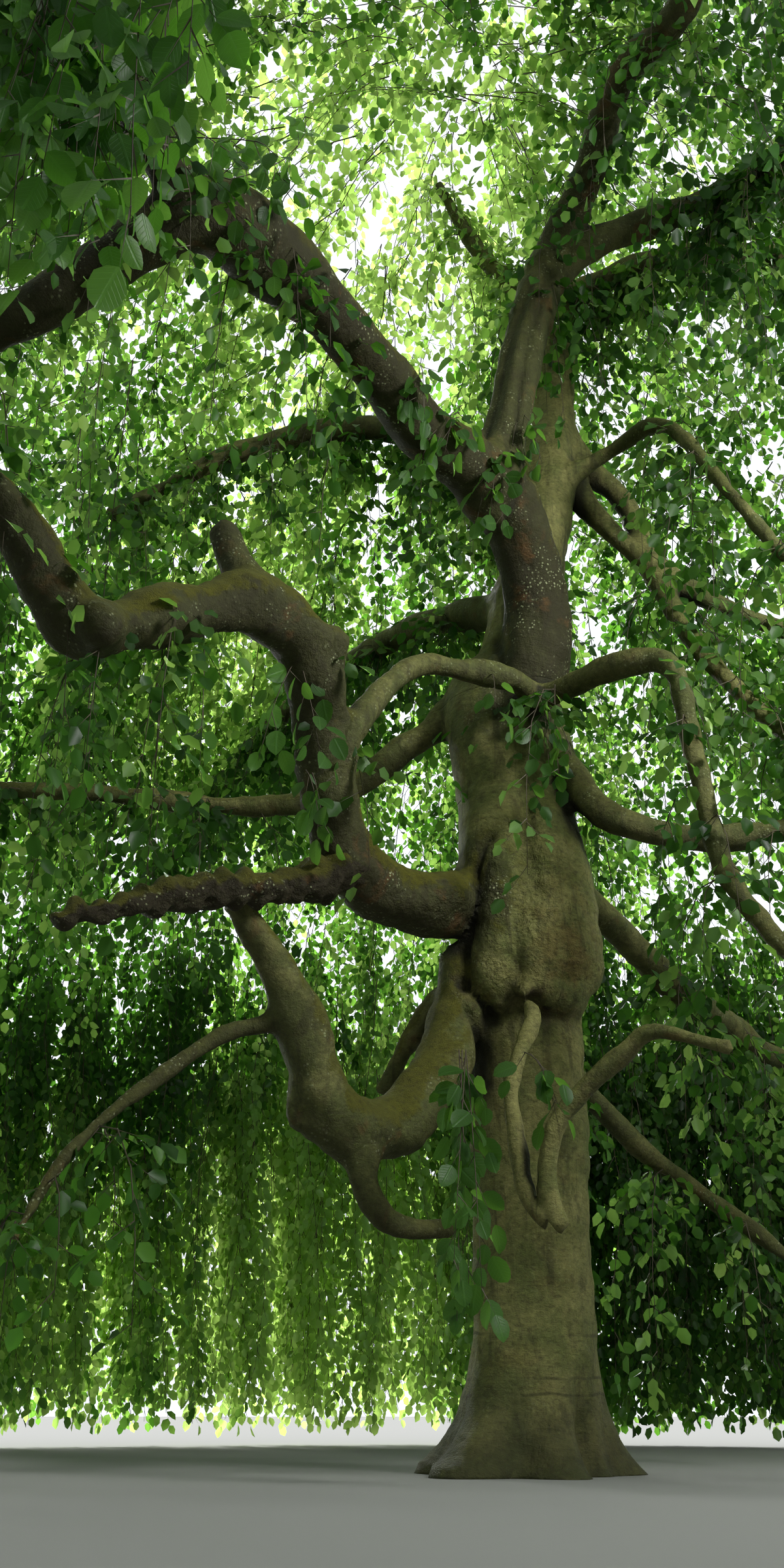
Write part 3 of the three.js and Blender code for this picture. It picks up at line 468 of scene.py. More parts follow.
# Creases where the bark of two limbs has pressed together: a line, how deep and how wide
CREASES = [
    ([(-.13, -.5, 3.46), (-.19, -.5, 3.3), (-.22, -.5, 3.1), (-.25, -.5, 2.92), (-.28, -.5, 2.74),
      (-.31, -.42, 2.56)], .1, .034),
    ([(-.13, -.5, 3.46), (-.05, -.48, 3.56), (.06, -.44, 3.6)], .03, .03),
    ([(-.31, -.36, 2.56), (-.19, -.45, 2.44), (-.08, -.46, 2.37), (.02, -.45, 2.44), (.12, -.46, 2.42),
      (.3, -.42, 2.36), (.4, -.3, 2.4), (.47, -.1, 2.52)], .055, .036),
    ([(.0, -.52, 2.95), (-.01, -.52, 2.75), (.0, -.5, 2.5)], .012, .035),
    ([(-.3, -.36, 2.4), (-.24, -.38, 2.25), (-.2, -.36, 2.05)], .035, .03),
    ([(.31, -.44, 3.0), (.3, -.46, 2.75), (.29, -.42, 2.5)], .02, .03),
    ([(.1, -.4, 4.1), (.12, -.42, 3.8), (.1, -.45, 3.4), (.14, -.48, 3.1)], .022, .05),
    ([(.3, -.3, 4.0), (.34, -.34, 3.6), (.36, -.36, 3.3)], .02, .05),
    ([(-.1, -.36, 4.2), (-.02, -.36, 4.5), (.0, -.3, 4.8), (-.02, -.2, 5.0)], .04, .04),
    ([(-.14, -1, 5.95), (-.02, -1, 6.4), (.08, -1, 6.9), (.25, -.95, 7.5)], .035, .032),
    ([(.06, -1, 6.0), (.12, -1, 6.5), (.22, -1, 7.0), (.4, -.9, 7.6)], .032, .028),
    ([(.0, -.9, 5.55), (.17, -.9, 5.9), (.27, -.95, 6.5), (.36, -.95, 7.1)], .04, .03),
]
CREASE_SIDEWAYS = np.array([1.0, 0.2, 1.0])  # creases are found mostly as they are seen from the front


def flare(height):
    """How much of the root flare is left at a height: 1 at the ground, dying away upwards."""
    return np.exp(-np.maximum(height, 0) / FLARE_HEIGHT * FLARE_FALL)


def trunk_line():
    """The trunk's centres with its taper, flare and collar: the radius is the taper, plus the flare that dies
    away with height, plus a bell at the collar."""
    line = spline([(x, y, z, 0) for x, y, z in TRUNK_LINE], step=0.05)
    below = line[:1] - [[0, 0, BELOW_GROUND, 0]]
    line = np.vstack([below, line])
    z = np.maximum(line[:, 2], 0)
    heights, radii = zip(*TRUNK_TAPER)
    swell = COLLAR_SWELL * np.exp(-(((z - COLLAR_HEIGHT) / COLLAR_REACH) ** 2))
    line[:, 3] = np.interp(z, heights, radii) + (FLARE_RADIUS - TRUNK_RADIUS) * flare(z) + swell
    return line


def toward(angle, middle, width):
    """A bell over the turn from one direction to another, in degrees."""
    turn = (np.degrees(angle) - middle + 180) % 360 - 180
    return np.exp(-((turn / width) ** 2))


def waves_round(forms, angle, height):
    """Waves round the trunk: for each, its depth times the cosine of its number times the direction, plus its
    turn times the height, plus its start."""
    return sum(deep * np.cos(number * angle + turn * height + start) for deep, number, turn, start in forms)


def trunk_relief(angle, height):
    """How far the trunk's bark stands in or out by direction and height: buttresses at the foot that fade
    upwards, a hollow or ridge here and there among them, flutes above the fork of the great bough, and long
    soft dents everywhere."""
    over = np.maximum(height, 0)
    high = np.clip((height - FLUTES_FROM) / FLUTES_RISE, 0, 1)
    relief = flare(height) * waves_round(FOOT_WAVES, angle, height)
    relief += high * waves_round(FLUTES, angle, height) + waves_round(DENTS, angle, height)
    for middle, width, fade, out in FOOT_FORMS:
        relief += out * toward(angle, middle, width) * np.exp(-((over / fade) ** 2))
    return relief


class Limb:
    """A limb's line with its directions, for measuring how far points are from its skin."""

    def __init__(self, name, line, brown):
        self.name, self.line = name, line
        self.traits = np.array([brown, MOSSY.get(name, MOSS_ANYWHERE)])
        self.along, self.across, self.other = frames_along(line[:, :3])
        self.length = np.concatenate([[0], np.cumsum(np.linalg.norm(np.diff(line[:, :3], axis=0), axis=1))])
        self.growth = np.gradient(line[:, 3]) / np.maximum(np.gradient(self.length), 1e-6)
        self.low = (line[:, :3] - line[:, 3:]).min(0) - LIMB_MARGIN
        self.high = (line[:, :3] + line[:, 3:]).max(0) + LIMB_MARGIN

    def measure(self, points):
        """Distance from the skin, the way out of it, and the place along the line. The line is read as runs
        between its points, so the distance is the length of what is left across the run, less the radius."""
        centres = self.line[:, :3]
        squared = (centres**2).sum(1)[None] - 2 * points @ centres.T
        at = squared.argmin(1)
        offset = points - centres[at]
        ahead = np.clip((offset * self.along[at]).sum(1), -RUN_REACH, RUN_REACH)
        ahead = np.where(at == 0, np.maximum(ahead, 0), ahead)
        ahead = np.where(at == len(centres) - 1, np.minimum(ahead, 0), ahead)
        across = offset - self.along[at] * ahead[:, None]
        away = np.linalg.norm(across, axis=1)
        radius = self.line[at, 3] + self.growth[at] * ahead
        if self.name == "trunk":
            angle = np.arctan2((across * self.other[at]).sum(1), (across * self.across[at]).sum(1))
            radius = radius + trunk_relief(angle, points[:, 2])
        return away - radius, across / np.maximum(away, 1e-6)[:, None], self.length[at] + ahead


LIMB_LINES = {"trunk": trunk_line(), **{name: spline(knots) for name, (knots, _) in THICK_LIMBS.items()}}
LIMBS = [Limb("trunk", LIMB_LINES["trunk"], 0.0)]
LIMBS += [Limb(name, LIMB_LINES[name], brown) for name, (_, brown) in THICK_LIMBS.items()]
FOLD_LIMBS = [Limb("fold", spline(knots), 0.0) for knots in FOLDS]
LIMB_POINTS = np.vstack([line[::2] for line in LIMB_LINES.values()])


def soft_least(limbs, points, blend):
    """The soft minimum of the distances to several limbs: minus blend times the log of the sum of
    exp(-distance / blend). Also the way out, the limbs' browns, which carry painted shade too, and mosses by
    their shares of that sum, and the place along the nearest limb."""
    total = np.full(len(points), 1e-12)
    way = np.zeros((len(points), 3))
    traits = np.zeros((len(points), 2))
    along = np.zeros(len(points))
    largest = np.zeros(len(points))
    for limb in limbs:
        near = np.flatnonzero(((points > limb.low) & (points < limb.high)).all(1))
        for some in np.array_split(near, max(1, len(near) // AT_A_TIME)):
            if not len(some):
                continue
            distance, out, place = limb.measure(points[some])
            weight = np.exp(np.clip(-distance / blend, -30, 30))
            total[some] += weight
            way[some] += out * weight[:, None]
            traits[some] += limb.traits * weight[:, None]
            first = weight > largest[some]
            along[some[first]] = place[first]
            largest[some[first]] = weight[first]
    return -blend * np.log(total), way / total[:, None], traits / total[:, None], along


def crease_depth(points):
    """How far creases press the bark in: for each, its depth times a bell over the distance from its line."""
    depth = np.zeros(len(points))
    for knots, deep, wide in CREASES:
        line = spline([(*knot, 0) for knot in knots], step=0.02)[:, :3]
        box = ((points > line.min(0) - CREASE_MARGIN) & (points < line.max(0) + CREASE_MARGIN)).all(1)
        away = np.linalg.norm((points[box][:, None] - line[None]) * CREASE_SIDEWAYS, axis=2).min(1)
        depth[box] += deep * np.exp(-((away / wide) ** 2))
    return depth


def skin_distance(points):
    """How far points stand off the finished bark, the way out, and what the materials read: the soft minimum
    over the limbs and then over the folds on the trunk, plus the creases, less the lumps."""
    distance, way, traits, along = soft_least(LIMBS, points, LIMB_BLEND)
    inner = np.flatnonzero(((points > FOLD_BOX[0]) & (points < FOLD_BOX[1])).all(1))
    folded, fold_way, _, _ = soft_least(FOLD_LIMBS, points[inner], FOLD_BLEND)
    own, theirs = np.exp(-distance[inner] / FOLD_BLEND), np.exp(-folded / FOLD_BLEND)
    share = (theirs / (own + theirs))[:, None]
    distance[inner] = -FOLD_BLEND * np.log(own + theirs)
    way[inner] = way[inner] * (1 - share) + fold_way * share
    crease = crease_depth(points)
    uneven = lumps(points, BARK_LUMPS) * (1 + MOSS_LUMPS * traits[:, 1])
    return distance + crease - uneven, unit(way), traits, along, crease


def even_faces(parts):
    """Rough tubes made into one skin with faces of an even size: its points and four-sided faces."""
    piece = make_piece("rough", *joined(parts))
    cells = piece.modifiers.new("cells", "REMESH")
    cells.mode = "VOXEL"
    cells.voxel_size = SKIN_CELL
    bpy.context.view_layer.update()
    shape = piece.evaluated_get(bpy.context.evaluated_depsgraph_get()).to_mesh()
    points = np.zeros(len(shape.vertices) * 3, np.float32)
    shape.vertices.foreach_get("co", points)
    corners = np.zeros(len(shape.loops), np.int32)
    shape.loops.foreach_get("vertex_index", corners)
    bpy.data.objects.remove(piece)
    return points.reshape(-1, 3).astype(float), corners.reshape(-1, 4)


def grown_skin():
    """The bark of the trunk and boughs as one skin: rough tubes are given even faces, and then each point is
    moved along the way out until its distance is zero. How sunk it is, which sets the painted shade in
    hollows, comes from how much of the room outside it other bark takes."""
    points, quads = even_faces([tube(limb.line, SKIN_SIDES) for limb in LIMBS + FOLD_LIMBS])
    for step in SKIN_STEPS:
        distance, way, traits, along, crease = skin_distance(points)
        points = points - way * (np.clip(distance, -LONGEST_STEP, LONGEST_STEP) * step)[:, None]
    sunk = np.zeros(len(points))
    for reach, share in ROOM_MEASURED:
        beside = skin_distance(points + way * reach)[0]
        sunk += share * np.clip(1.0 - beside / reach, 0, 1)
    leader = np.hypot(*(points[:, :2] - LEADER_AXIS).T) < LEADER_REACH
    paler = LEADER_PALER * leader * np.clip((points[:, 2] - PALER_FROM) / PALER_RISE, 0, 1)
    rugged = [strength * bell(points, centre, sizes, 4) for centre, sizes, strength in RUGGED_PLACES]
    skin = make_piece("skin", points, quads, NO_TRIANGLES)
    give(skin, sunk=sunk, rugged=np.max(rugged, axis=0), brown=traits[:, 0] - paler, damp=traits[:, 1],
         along=along, blush=bell(points, BLUSH_CENTRE, BLUSH_SIZE), upward=way[:, 2],
         pressed=np.clip(crease / FULLY_PRESSED, 0, 1) ** 1.5)
    return skin


def cut_flat(piece, height, keep):
    """Cuts a piece flat at a height and closes the cut. keep is 1 to keep what is above and -1 for below."""
    work = bmesh.new()
    work.from_mesh(piece.data)
    bmesh.ops.bisect_plane(work, geom=work.verts[:] + work.edges[:] + work.faces[:], dist=1e-5,
                           plane_co=(0, 0, height), plane_no=(0, 0, -keep), clear_outer=True)
    rim = [edge for edge in work.edges if edge.is_boundary]
    bmesh.ops.holes_fill(work, edges=rim)
    work.to_mesh(piece.data)
    work.free()


# Foliage

def crown_radius(z, azimuth):
    """The crown's outside at a height: its radius with waves round it and a bulge to the front, drawn in a
    little towards the ground, and closing like an oval above its side."""
    t = np.clip((z - CROWN_SIDE) / (CROWN_TOP - CROWN_SIDE), 0, 1)
    under = np.clip((CROWN_SIDE - z) / CROWN_SIDE, 0, 1)
    bulge = np.maximum(0, np.cos(azimuth - FRONT)) ** 3 * FRONT_BULGE
    wave = sum(deep * np.sin(count * azimuth + turn * z + start) for deep, count, turn, start in CROWN_WAVES)
    return (CROWN_RADIUS * (1 + wave) + bulge) * np.sqrt(1 - t**CROWN_OVAL) * (1 - SIDE_DRAWN_IN * under)


def shares(count):
    """Shares from 0 to 1 at even steps, as a row."""
    return np.linspace(0, 1, count)[None]


def polar(distance, azimuth, z):
    """Points at a distance from the trunk's axis, in a direction, at a height."""
    return np.stack([distance * np.cos(azimuth), distance * np.sin(azimuth), z + 0 * distance], -1)


def seen_at(points):
    """Where points fall in the picture, from -1 to 1 across and up, and how far ahead of the eye they are."""
    d = points - EYE
    ahead = d[..., 1] * math.cos(EYE_TILT) + d[..., 2] * math.sin(EYE_TILT)
    up = -d[..., 1] * math.sin(EYE_TILT) + d[..., 2] * math.cos(EYE_TILT)
    deep = np.maximum(ahead, 0.01)
    return d[..., 0] / deep * 2 * FOCAL_SHARE / PICTURE_ASPECT, up / deep * 2 * FOCAL_SHARE, ahead


def in_view(points, margin=VIEW_MARGIN):
    """Whether points fall in the picture or a little beside it."""
    across, up, ahead = seen_at(points)
    return (np.abs(across) < margin) & (np.abs(up) < margin) & (ahead > 0)


def only(strands, seen):
    """The strands whose middle is in the picture, or the others."""
    return strands[in_view(strands[:, strands.shape[1] // 2]) == seen]


def curtain_strands(chance, count, azimuths, tops, feet, depth):
    """Hanging strands: each keeps its azimuth and its distance inside the crown's outside, from a height down
    to its foot, with a slow sway. More of them are near the outside than deep inside."""
    share = shares(7)
    azimuth = chance.uniform(*azimuths, count)[:, None]
    top = chance.uniform(*tops, count)[:, None]
    low = np.minimum(chance.uniform(*feet, count)[:, None], top - CURTAIN_SHORTEST)
    inset = CROWN_MARGIN + depth * chance.random((count, 1)) ** 1.6
    z = top + (low - top) * share
    sway = np.sin(share * chance.uniform(3, 7, (count, 1)) + chance.uniform(0, TAU, (count, 1)))
    turn = azimuth + CURTAIN_SWAY * sway
    return polar(crown_radius(z, turn) - inset - CURTAIN_LEAN * (1 - share), turn, z)


def dome_height(distance, azimuth):
    """The height of the crown's outside over a distance from the axis: crown_radius turned round."""
    out = np.clip(distance / crown_radius(CROWN_SIDE, azimuth), 0, 0.999)
    return CROWN_SIDE + (CROWN_TOP - CROWN_SIDE) * (1 - out**2) ** (1 / CROWN_OVAL)


def dome_strands(chance, count, depth):
    """Strands that run outwards under the top of the crown and hang down over its side. They start at
    distances spread nearly evenly over the dome, a few of them just across the axis."""
    share = shares(6)
    azimuth = chance.uniform(0, TAU, (count, 1))
    start = DOME_REACH * chance.random((count, 1)) ** 0.6 - DOME_ACROSS
    distance = start + share * chance.uniform(*DOME_LENGTHS, (count, 1)) * (1 - DOME_SHORTER * start)
    turn = azimuth + DOME_SWAY * np.sin(share * 4 + chance.uniform(0, TAU, (count, 1)))
    under = DOME_COVER + depth * chance.random((count, 1)) ** 1.4 + DOME_HANG * share**2
    z = dome_height(distance, turn) - under
    return polar(np.minimum(distance, crown_radius(z, turn) - CROWN_MARGIN), turn, z)


def near_shoots(chance, line, count, span, heights, aside):
    """Shoots that leave a limb close to the eye sideways and hang down, each to a height in the picture that
    is drawn between two shares of the focal length."""
    at = (chance.uniform(*span, count) * (len(line) - 1)).astype(int)
    root = line[at, :3]
    offset = np.stack([chance.uniform(*aside, count), chance.normal(0, NEAR_DEPTH, count)], -1)[:, None]
    high = chance.uniform(*heights, count)
    ahead = root[:, 1] + offset[:, 0, 1] - EYE[1]
    tilt_sin, tilt_cos = math.sin(EYE_TILT), math.cos(EYE_TILT)
    foot = EYE[2] + ahead * (tilt_sin + high * tilt_cos) / (tilt_cos - high * tilt_sin)
    share = shares(9)[:, :, None]
    place = root[:, None, :2] + offset * (1 - (1 - share) ** 4)
    place = place + NEAR_SWAY * np.sin(share * 5 + chance.uniform(0, TAU, (count, 1, 2))) * share
    z = root[:, None, 2:] + (foot[:, None, None] - root[:, None, 2:]) * share
    return np.concatenate([place, z], -1)


def inner_strands(chance, count, azimuth, distances, heights):
    """Strands that hang inside the tent, in a part of a ring: straight down with a slow sway."""
    share = shares(6)
    turn = azimuth + INNER_HALF * chance.uniform(-1, 1, (count, 1))
    distance = chance.uniform(*distances, (count, 1))
    low, high = heights
    top = high - INNER_TOPS * (high - low) * chance.random((count, 1))
    foot = low + INNER_FEET * (high - low) * chance.random((count, 1))
    sway = INNER_SWAY * np.sin(share * chance.uniform(2, 5, (count, 1)) + chance.uniform(0, TAU, (count, 1)))
    return polar(distance + sway, turn, top + (foot - top) * share)


def limb_strands(chance, line, count, span):
    """Shoots that leave a limb sideways and hang down in a bow, none of them under the curtain's foot."""
    at = (chance.uniform(*span, count) * (len(line) - 1)).astype(int)
    root = line[at, :3]
    room = root[:, 2] - CURTAIN_FOOT - SHOOT_FOOT
    length = np.clip(chance.uniform(*SHOOT_LENGTHS, count), 0.1, room)[:, None, None]
    way = chance.uniform(0, TAU, count)
    out = np.stack([np.cos(way), np.sin(way), 0 * way], -1)[:, None]
    share = shares(5)[:, :, None]
    drop = -UP * share**1.5 * length
    lift = UP * SHOOT_LIFT * np.sin(share * math.pi)
    return root[:, None] + out * SHOOT_SPREAD * (1 - (1 - share) ** 2) * length + drop + lift


def cluster_strands(chance, start, end, count):
    """A few shoots side by side from one place to another, hanging in a slight bow."""
    share = shares(6)[:, :, None]
    ends = np.array(end) + chance.normal(0, CLUSTER_FOOT, (count, 1, 3))
    starts = np.array(start) + chance.normal(0, CLUSTER_TOP, (count, 1, 3))
    return starts + (ends - starts) * share + CLUSTER_BOW * np.sin(share * math.pi)


def thinned(chance, strands, centre, radius, share):
    """The strands with some left out round a place: the share left out falls off as a bell round it."""
    away = np.linalg.norm(strands[:, strands.shape[1] // 2] - centre, axis=1) / radius
    return strands[chance.random(len(strands)) > share * np.exp(-(away**2))]


def lengths_of(strands):
    """The length of each strand."""
    return np.linalg.norm(np.diff(strands, axis=1), axis=2).sum(1)


def along_each(counts):
    """For items dealt out to owners by their counts: each item's owner, and its place in that owner's row."""
    owner = np.repeat(np.arange(len(counts)), counts)
    return owner, np.arange(counts.sum()) - np.repeat(np.cumsum(counts) - counts, counts)


def twigs_on(chance, strands, gap, reach, droop):
    """Side twigs along strands: root, direction, length and strand of each. They leave to both sides in turn,
    and hang."""
    counts = np.maximum(1, (lengths_of(strands) / gap).astype(int))
    owner, order = along_each(counts)
    share = (order + chance.random(len(owner))) / counts[owner]
    steps = strands.shape[1] - 1
    whole = np.minimum((share * steps).astype(int), steps - 1)
    part = (share * steps - whole)[:, None]
    start, end = strands[owner, whole], strands[owner, whole + 1]
    root = start + (end - start) * part
    along = unit(end - start)
    side = np.where(order % 2 == 0, 0.0, math.pi) + chance.normal(0, TWIG_SPREAD, len(owner))
    side += owner * TWIG_TURN
    out = np.stack([np.cos(side), np.sin(side), 0 * side], -1)
    way = unit(out + along * TWIG_FORWARD - UP * chance.uniform(*droop, len(owner))[:, None])
    length = chance.uniform(*reach, len(owner)) * (1 - TWIG_SHORTER * share)
    return root, way, length, owner


def leaves_on(chance, root, way, length, size):
    """Leaves along twigs, to both sides in turn: each leaf's foot, direction, upper side, length and twig."""
    counts = np.maximum(2, (length / (LEAF_SPACING * size)).astype(int))
    owner, order = along_each(counts)
    share = (order + 0.9) / counts[owner]
    place = root[owner] + way[owner] * (share * length[owner])[:, None]
    facing = unit(chance.normal(0, LEAF_TILT, (len(root), 3)) + UP) + root * [LEAF_OUTWARD, LEAF_OUTWARD, 0]
    normal = unit(facing[owner] + chance.normal(0, LEAF_UNEVEN, (len(owner), 3)))
    aside = np.cross(way[owner], normal) * np.where(order % 2 == 0, 1, -1)[:, None]
    last = (share > END_LEAF)[:, None]
    lie = np.where(last, way[owner], way[owner] * 0.5 + aside) - UP * LEAF_HANG
    lie = unit(lie + chance.normal(0, LEAF_STRAY, (len(owner), 3)))
    normal = unit(normal - lie * (normal * lie).sum(-1, keepdims=True))
    return place, lie, normal, size * chance.uniform(*LEAF_SIZES, len(owner)), owner


# A leaf's outline: shares of its width and length, and how high that point stands over the midrib
LEAF_OUTLINE = np.array([(0, 0, 0), (0.44, 0.27, 0.07), (0.42, 0.7, 0.08), (0, 1, -0.1), (-0.42, 0.7, 0.08),
                         (-0.44, 0.27, 0.07)])
LEAF_FACES = np.array([(0, 1, 2), (0, 2, 3), (0, 3, 4), (0, 4, 5)])

# The same for leaves on the sides that the picture doesn't show, with one point at each margin
KITE_OUTLINE = np.array([(0, 0, 0), (0.46, 0.42, 0.08), (0, 1, -0.08), (-0.46, 0.42, 0.08)])
KITE_FACES = np.array([(0, 1, 2), (0, 2, 3)])

# The same for leaves near the eye: how far along, half the width there, and how high the margin stands
FINE_STATIONS = np.array([(0.1, 0.27, 0.03), (0.32, 0.48, 0.06), (0.62, 0.47, 0.075), (0.86, 0.3, 0.05)])
FINE_MARGINS = [(side * wide, long, abs(side) * high - 0.1 * long**2)
                for long, wide, high in FINE_STATIONS for side in (1, 0, -1)]
FINE_OUTLINE = np.array([(0, 0, 0), *FINE_MARGINS, (0, 1, -0.14)])
FINE_FACES = np.array([(0, 1, 2), (0, 2, 3), (10, 13, 11), (11, 13, 12)]
                      + [face for ring in (1, 4, 7)
                         for face in ((ring, ring + 3, ring + 4), (ring, ring + 4, ring + 1),
                                      (ring + 1, ring + 4, ring + 5), (ring + 1, ring + 5, ring + 2))])


def leaf_mesh(place, lie, normal, size, outline, corners):
    """All leaves as one set of points and triangles: each outline point is the leaf's foot plus its share of
    the width across, of the length along and of the height over the midrib."""
    across = np.cross(lie, normal)
    axes = np.stack([across * LEAF_WIDTH, lie, normal], 1) * size[:, None, None]
    points = place[:, None] + np.einsum("pk,nkc->npc", outline, axes)
    faces = corners[None] + (np.arange(len(place)) * len(outline))[:, None, None]
    return points.reshape(-1, 3), NO_QUADS, faces.reshape(-1, 3)


def spike_mesh(root, tip, radius):
    """Thin three-sided spikes from root to tip, closed at the foot."""
    way = unit(tip - root)
    helper = np.where(np.abs(way[:, 2:]) > 0.9, [[1.0, 0, 0]], [[0, 0, 1.0]])
    across = unit(np.cross(way, helper))
    other = np.cross(way, across)
    angle = np.arange(3) / 3 * TAU
    rim = np.cos(angle)[None, :, None] * across[:, None] + np.sin(angle)[None, :, None] * other[:, None]
    points = np.concatenate([root[:, None] + rim * radius, tip[:, None]], 1)
    corners = np.array([(0, 1, 3), (1, 2, 3), (2, 0, 3), (0, 2, 1)])
    faces = corners[None] + (np.arange(len(root)) * 4)[:, None, None]
    return points.reshape(-1, 3), NO_QUADS, faces.reshape(-1, 3)


def strand_mesh(strands, radius):
    """Three-sided rods along all strands, thinner towards the tip, closed at both ends."""
    number, steps = strands.shape[:2]
    way = unit(np.gradient(strands, axis=1))
    across = unit(np.cross(way, np.array([0.3, 0.9, 0.1])))
    other = np.cross(way, across)
    angle = np.arange(3) / 3 * TAU
    rim = (np.cos(angle)[None, None, :, None] * across[:, :, None]
           + np.sin(angle)[None, None, :, None] * other[:, :, None])
    size = radius * np.linspace(1, STRAND_TIP, steps)[None, :, None, None]
    points = strands[:, :, None] + rim * size
    ring, turn = np.meshgrid(np.arange(steps - 1), np.arange(3), indexing="ij")
    here, beside = ring * 3 + turn, ring * 3 + (turn + 1) % 3
    quads = np.stack([here, beside, beside + 3, here + 3], -1).reshape(-1, 4)
    last = (steps - 1) * 3
    ends = np.array([(0, 2, 1), (last, last + 1, last + 2)])
    shift = (np.arange(number) * steps * 3)[:, None, None]
    return points.reshape(-1, 3), (quads[None] + shift).reshape(-1, 4), (ends[None] + shift).reshape(-1, 3)


def in_crown(points):
    """Whether points lie inside the crown and over the curtain's foot."""
    distance = np.hypot(points[:, 0], points[:, 1])
    azimuth = np.arctan2(points[:, 1], points[:, 0])
    high = points[:, 2]
    within = distance < crown_radius(high, azimuth) - TWIG_MARGIN
    return within & (high > TWIG_FOOT) & (high < CROWN_TOP - TOP_MARGIN)


def in_box(points):
    """Whether points lie inside the solids' box, less a margin, and over the ground."""
    low, high = np.array(CAD_BOX[0]), np.array(CAD_BOX[1])
    low = np.append(low[:2] + BOX_MARGIN, LEAF_FOOT)
    return ((points > low) & (points < high - BOX_MARGIN)).all(-1)


def in_limbs(points, gap):
    """Whether points are nearer to a limb's skin than a gap, by the nearest point of all limbs' lines."""
    inside = np.zeros(len(points), bool)
    near = np.flatnonzero((np.hypot(points[:, 0], points[:, 1]) < LIMBS_OUT) & (points[:, 2] < LIMBS_UP))
    centres = LIMB_POINTS[:, :3]
    for some in np.array_split(near, max(1, len(near) // AT_A_TIME)):
        if len(some):
            squared = (centres**2).sum(1)[None] - 2 * points[some] @ centres.T
            at = squared.argmin(1)
            away = np.linalg.norm(points[some] - centres[at], axis=1)
            inside[some] = away < LIMB_POINTS[at, 3] + gap
    return inside


def clear_of_view(points):
    """Whether points are out of the picture or far enough ahead, and not beside the eye."""
    across, up, ahead = seen_at(points)
    inside = (np.abs(across) < CLEAR_ACROSS) & (np.abs(up) < CLEAR_UP) & (ahead > -CLEAR_BEHIND)
    beside = np.linalg.norm(points - EYE, axis=-1) < EYE_ROOM
    return ~(inside & (ahead < NEAR_CLEAR)) & ~beside


def patch(points, azimuth, height, wide, high):
    """A soft patch on the curtain: a bell round an azimuth and a height."""
    turn = np.arctan2(points[:, 1], points[:, 0]) - azimuth
    turn = (turn + math.pi) % TAU - math.pi
    return np.exp(-((turn / wide) ** 2) - ((points[:, 2] - height) / high) ** 2)


def light_by_place(points):
    """Painted light and shade on the sprays by place: how much lighter they are, the sum of the patches on
    the curtain and the sunlit top.
    """
    tone = sum(lighter * patch(points, *form) for lighter, form in SUN_AND_SHADE_PATCHES)
    return tone + DOME_LIGHTER * bell(points, DOME_LIGHT, DOME_LIGHT_SIZE)


class Foliage:
    """Collects the strands, twigs and leaves of the whole crown."""

    def __init__(self):
        self.leaves = {kind: [] for kind in KINDS}
        self.spikes = {kind: [] for kind in KINDS}
        self.rods = []

    def grow(self, kind, chance, strands, sprays, shade=0.0):
        """Twigs and leaves on strands. Those outside the crown, in a limb or in the way of the view are left
        out."""
        strands = strands[in_box(strands).all(1)]
        if kind in ("far", "seen"):
            strands = strands[clear_of_view(strands).all(1)]
        root, way, length, owner = twigs_on(chance, strands, sprays.gap, sprays.reach, sprays.droop)
        tip = root + way * length[:, None]
        good = in_crown(tip) & in_box(tip) & ~in_limbs(tip, TWIG_GAP)
        if kind in ("far", "seen"):
            good &= clear_of_view(tip) & clear_of_view(root)
        if kind == "near":
            good &= in_view(tip, NEAR_VIEW)
        root, way, length, tip, owner = root[good], way[good], length[good], tip[good], owner[good]
        place, lie, normal, long, twig = leaves_on(chance, root, way, length, sprays.leaf)
        # A spray's tone is partly random and partly painted light and shade: the given shade, and the sunlit
        # and shaded patches by place
        tone = STRAND_TONE * chance.random(len(strands))[owner] + TWIG_TONE * chance.random(len(root))
        tone += shade + light_by_place(root)
        tips = place + lie * long[:, None]
        free = in_box(tips) & ~in_limbs(tips, LEAF_GAP) & ~in_limbs(place, 0.0)
        self.leaves[kind].append((place[free], lie[free], normal[free], long[free], tone[twig][free]))
        self.spikes[kind].append(spike_mesh(root, tip, TWIG_RADIUS))
        self.rods.append(strand_mesh(strands[np.unique(owner)], sprays.rod))

    def all_leaves(self, *kinds):
        """The leaves of some kinds put together: foot, direction, upper side, length and tone of each."""
        return [np.concatenate(column) for column in zip(*sum((self.leaves[kind] for kind in kinds), []))]

    def all_twigs(self, *kinds):
        """The twigs of some kinds put together as points and faces."""
        return joined(sum((self.spikes[kind] for kind in kinds), []))


# Materials

